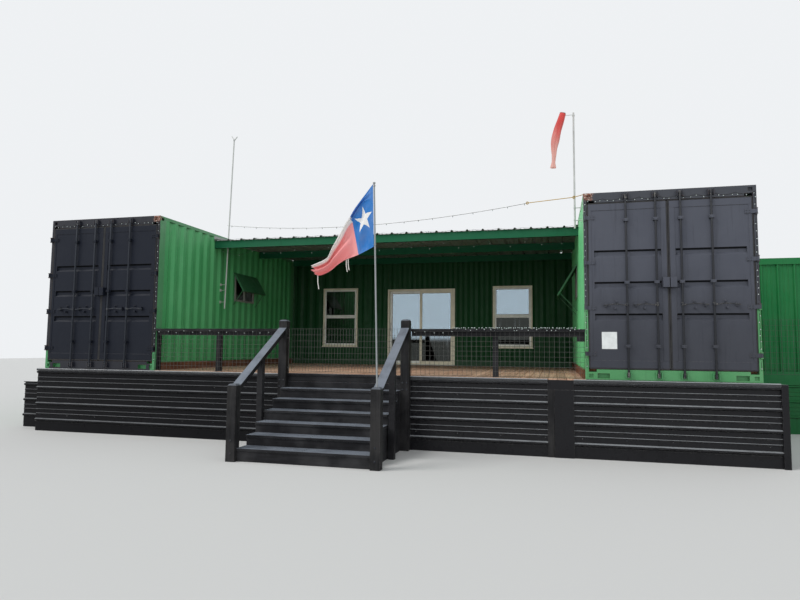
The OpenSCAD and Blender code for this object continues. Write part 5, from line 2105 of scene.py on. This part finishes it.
@dataclass
class PorchFlag:
    """The flag that droops from the pole by the stair, its upper half pleated away towards its fly."""

    long: float = 1.524
    wide: float = 0.914
    ring_r: float = 0.021
    wire_r: float = 0.0028
    top: tuple[Pair, ...] = ((0.888, 3.956), (0.65, 3.653), (0.561, 3.514), (0.471, 3.385), (0.315, 3.105),
                             (0.249, 2.95), (0.145, 2.884), (-0.005, 2.825))
    low: tuple[Pair, ...] = ((0.913, 3.063), (0.695, 2.956), (0.503, 2.891), (0.367, 2.807), (0.265, 2.735),
                             (0.115, 2.672), (0.02, 2.7))
    pleats: tuple[Point, ...] = ((0.0, 0.75, 0.25), (0.17, 0.75, 0.1), (0.36, 0.5, 0.17), (0.6, 0.5, 0.3),
                                 (1.0, 0.5, 0.3))
    frays: tuple[Pair, ...] = ((0.48, 0.17), (0.51, 0.18), (0.94, 0.2))

    def pleat(self, along: float) -> Pair:
        """The share of the cloth's width below its pleats, and of its hanging height that they take.

        Args:
            along: A share of the length, from the hoist.

        Returns:
            Both shares.
        """
        for (a, split, upper), (b, next_split, next_upper) in zip(self.pleats, self.pleats[1:]):
            if along <= b:
                t = eased((along - a) / (b - a))
                return split + (next_split - split) * t, upper + (next_upper - upper) * t
        return self.pleats[-1][1:]

    @staticmethod
    def spaced(along: float, third: float) -> float:
        """The share of an edge's line at a share of the cloth, whose blue third ends at a given share."""
        return along * 3 * third if along < 1 / 3 else third + (along - 1 / 3) * 1.5 * (1 - third)

    def place(self, along: float, up: float) -> Vector:
        """The place of a point of the cloth.

        Args:
            along: Its share of the length, from the hoist.
            up: Its share of the width, from the lower edge.

        Returns:
            The place.
        """
        top, low = smooth_line(self.top, self.spaced(along, 0.36)), smooth_line(self.low, self.spaced(along, 0.25))
        chord = math.dist(top, low)
        split, upper = self.pleat(along)
        if up < split:
            within, waves, cloth, across = up / split, 1.5, self.wide * split, chord * (1 - upper)
            share = (1 - upper) * within
        else:
            within, waves, cloth, across = (up - split) / (1 - split), -2.0, self.wide * (1 - split), chord * upper
            share = 1 - upper + upper * within
        depth = math.sqrt(max(cloth ** 2 - across ** 2, 0.0)) / (4 * abs(waves)) * eased(min(along / 0.22, 1.0))
        fold = depth * math.sin(math.tau * waves * within)
        ripple = 0.005 * math.sin(17 * along + 6 * up) * min(along * 3, 1.0)
        return at(low[0] + (top[0] - low[0]) * share, CABIN.stair_y + fold + ripple,
                  low[1] + (top[1] - low[1]) * share)

    def ring(self, up: float) -> Piece:
        """A pressed ring that ties the hoist to the pole at a share of the width.

        Args:
            up: A share of the width, from the lower edge.

        Returns:
            The ring.
        """
        spot = self.place(0.0, up) + Vector((0.017, 0, 0))
        drop_selection()
        bpy.ops.mesh.primitive_torus_add(major_radius=self.ring_r, minor_radius=self.wire_r, major_segments=18,
                                         minor_segments=6, location=spot)
        ring = settle("ring")
        with edit(ring, facing()):
            bpy.ops.transform.resize(value=(1.0, 0.84, 1.0), center_override=spot)
        return ring

    def build(self) -> None:
        """Drapes the cloth and adds its rings and torn hems."""
        cloth = cloth_grid("porch_flag", 120, 84, self.place)
        fit_out(cloth, Paint.flag, replaces=["flags"])
        rings = join("flag_rings", [self.ring(up) for up in (0.03, 0.97)])
        clips = fit_out(smooth(rings, 60.0), Paint.bright_wire)
        frays = join("flag_frays", [self.fray(share, fall) for share, fall in self.frays])
        hems = fit_out(frays, Paint.thread)

    def fray(self, along: float, fall: float) -> Piece:
        """A torn strip of hem that hangs from the cloth's lower edge.

        Args:
            along: Its share of the length, from the hoist.
            fall: How far it hangs.

        Returns:
            The strip.
        """
        head = self.place(along, 0.01)
        return cloth_grid("fray", 3, 14, lambda u, v: head + Vector((0.012 * (u - 0.5) + 0.1 * v * v * fall,
                                                                      0.003 * math.sin(9 * v), -fall * v)))


@dataclass
class Windsock:
    """The limp windsock under the arm of the right mast."""

    line: tuple[Pair, ...] = ((3.527, 5.57), (3.491, 5.453), (3.437, 5.283), (3.401, 5.112), (3.383, 4.98),
                              (3.379, 4.853), (3.368, 4.741), (3.363, 4.652))
    wides: tuple[Pair, ...] = ((0.0, 0.1), (0.13, 0.112), (0.31, 0.12), (0.5, 0.13), (0.64, 0.1), (0.78, 0.072),
                               (0.9, 0.06), (1.0, 0.095))
    y: float = 0.39

    def place(self, round_share: float, down: float) -> Vector:
        """The place of a point of the tube.

        Args:
            round_share: Its share round the tube.
            down: Its share of the length, from the mouth.

        Returns:
            The place.
        """
        x, z = smooth_line(self.line, down)
        (x1, z1), (x0, z0) = (smooth_line(self.line, min(max(down + off, 0.0), 1.0)) for off in (0.02, -0.02))
        across = Vector((z1 - z0, 0, x0 - x1)).normalized()
        limp = min(down / 0.25, 1.0)
        turn = math.tau * (round_share + 0.25)
        radius = smooth_line(self.wides, down)[1] / 2 * (1 + limp * 0.1 * math.sin(5 * turn + 2.2 * down))
        return (at(x, self.y, z) + across * (radius * math.cos(turn))
                + BACK * (radius * (1.0 - 0.3 * limp) * math.sin(turn)))

    def build(self) -> None:
        """Rolls the tube, sets the hoop in its mouth and ties it to the arm."""
        tube = cloth_grid("windsock", 60, 60, self.place)
        fit_out(tube, Paint.sock, replaces=["flags"])
        hoop = wire_run("sock_hoop", [self.place(i / 32, 0.004) for i in range(33)], 0.003)
        arm = at(3.566, self.y, 5.584)
        ties = [wire_run("tie", [self.place(share, 0.004), arm], 0.0012, 5) for share in (0.0, 0.33, 0.66)]
        hung = fit_out(join("windsock_hoop", [hoop, *ties]), Paint.bright_wire)


@dataclass(frozen=True)
class Studio:
    """The view of the photograph, a plain pale floor and soft light."""

    eye: Point = (2.4908, -13.0685, 1.6482)
    heading: float = math.radians(-14.291)
    pitch: float = math.radians(4.585)
    roll: float = math.radians(0.554)
    lens: float = 27.045
    floor_half: float = 60.0
    floor_grey: Colour = (0.62, 0.62, 0.61, 1.0)
    backdrop: Colour = (0.86, 0.88, 0.9, 1.0)
    sky: Colour = (0.90, 0.95, 1.0, 1.0)
    sky_light: float = 0.56

    def build(self) -> None:
        """Sets the camera, the floor and the light."""
        self.camera()
        self.floor()
        self.light()
        self.sun("key_sun", 1.7, 30.0, (math.radians(45), 0.0, math.radians(-55)))
        self.sun("side_sun", 0.4, 70.0, (math.radians(60), 0.0, math.radians(60)))
        self.sun("porch_sun", 0.8, 50.0, (math.radians(80), 0.0, math.radians(-4)), mirrored=False)

    def camera(self) -> None:
        """Sets the camera where the photograph was taken."""
        flat = Vector((math.cos(self.heading), -math.sin(self.heading), 0.0))
        ahead = Vector((math.sin(self.heading) * math.cos(self.pitch),
                        math.cos(self.heading) * math.cos(self.pitch), math.sin(self.pitch)))
        upward = flat.cross(ahead)
        right = math.cos(self.roll) * flat + math.sin(self.roll) * upward
        up = math.cos(self.roll) * upward - math.sin(self.roll) * flat
        eye = bpy.data.objects.new("camera", bpy.data.cameras.new("camera"))
        eye.data.lens, eye.data.sensor_width, eye.data.clip_end = self.lens, 36.0, 300.0
        eye.matrix_world = Matrix.Translation(self.eye) @ Matrix((right, up, -ahead)).transposed().to_4x4()
        bpy.context.scene.collection.objects.link(eye)
        bpy.context.scene.camera = eye

    def floor(self) -> None:
        """Lays the pale floor."""
        drop_selection()
        bpy.ops.mesh.primitive_plane_add(size=2 * self.floor_half, location=(0, 0, -0.001))
        ground = bpy.context.object
        ground.name = "studio_floor"
        paint = bpy.data.materials.new("studio floor")
        paint.use_nodes = True
        shader = paint.node_tree.nodes["Principled BSDF"]
        shader.inputs["Base Color"].default_value = self.floor_grey
        shader.inputs["Roughness"].default_value = 0.95
        ground.data.materials.append(paint)

    def light(self) -> None:
        """Sets a soft sky that cameras, gloss and glass see as a pale backdrop."""
        bpy.context.scene.view_settings.view_transform = "Standard"
        world = bpy.data.worlds.new("pale sky")
        bpy.context.scene.world = world
        world.use_nodes = True
        world.node_tree.nodes.clear()
        n = Nodes(world.node_tree)
        rays = n.add("LightPath").outputs
        camera, gloss, glass = (Value(n, rays[f"Is {kind} Ray"]) for kind in ("Camera", "Glossy", "Transmission"))
        sky = n.out("Background", {"Color": self.sky, "Strength": self.sky_light})
        view = n.out("Background", {"Color": self.backdrop, "Strength": 1.0})
        n.add("OutputWorld", {"Surface": n.out("MixShader", {0: camera | (gloss | glass), 1: sky, 2: view})})

    @staticmethod
    def sun(name: str, strength: float, spread: float, turn: Point, mirrored: bool = True) -> None:
        """Adds a broad sun.

        Args:
            name: The lamp's name.
            strength: How bright it is.
            spread: How many degrees wide it is.
            turn: The lamp's turn, in radians.
            mirrored: If glass and gloss show it.
        """
        lamp = bpy.data.lights.new(name, "SUN")
        lamp.energy, lamp.angle, lamp.color = strength, math.radians(spread), (1.0, 0.985, 0.96)
        holder = bpy.data.objects.new(name, lamp)
        holder.rotation_euler = turn
        holder.visible_glossy = mirrored
        bpy.context.scene.collection.objects.link(holder)


def main() -> None:
    """Builds the sub-assemblies in order round the frame."""
    logging.basicConfig(level=logging.INFO, format="%(name)s: %(message)s")
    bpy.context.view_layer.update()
    Studio().build()
    dress_model()
    CargoDoors(Side.LEFT, Paint.left_doors, Paint.left_rods).build()
    CargoDoors(Side.RIGHT, Paint.right_doors, Paint.right_rods).build()
    for assembly in (PorchDeck(), Stair(), RearOpenings(), Hatches(), PorchRoof(), Skirting()):
        assembly.build()
    lights = StringLights()
    StayLine().build(lights)
    lights.build()
    PorchFlag().build()
    Windsock().build()


if __name__ == "__main__":
    main()
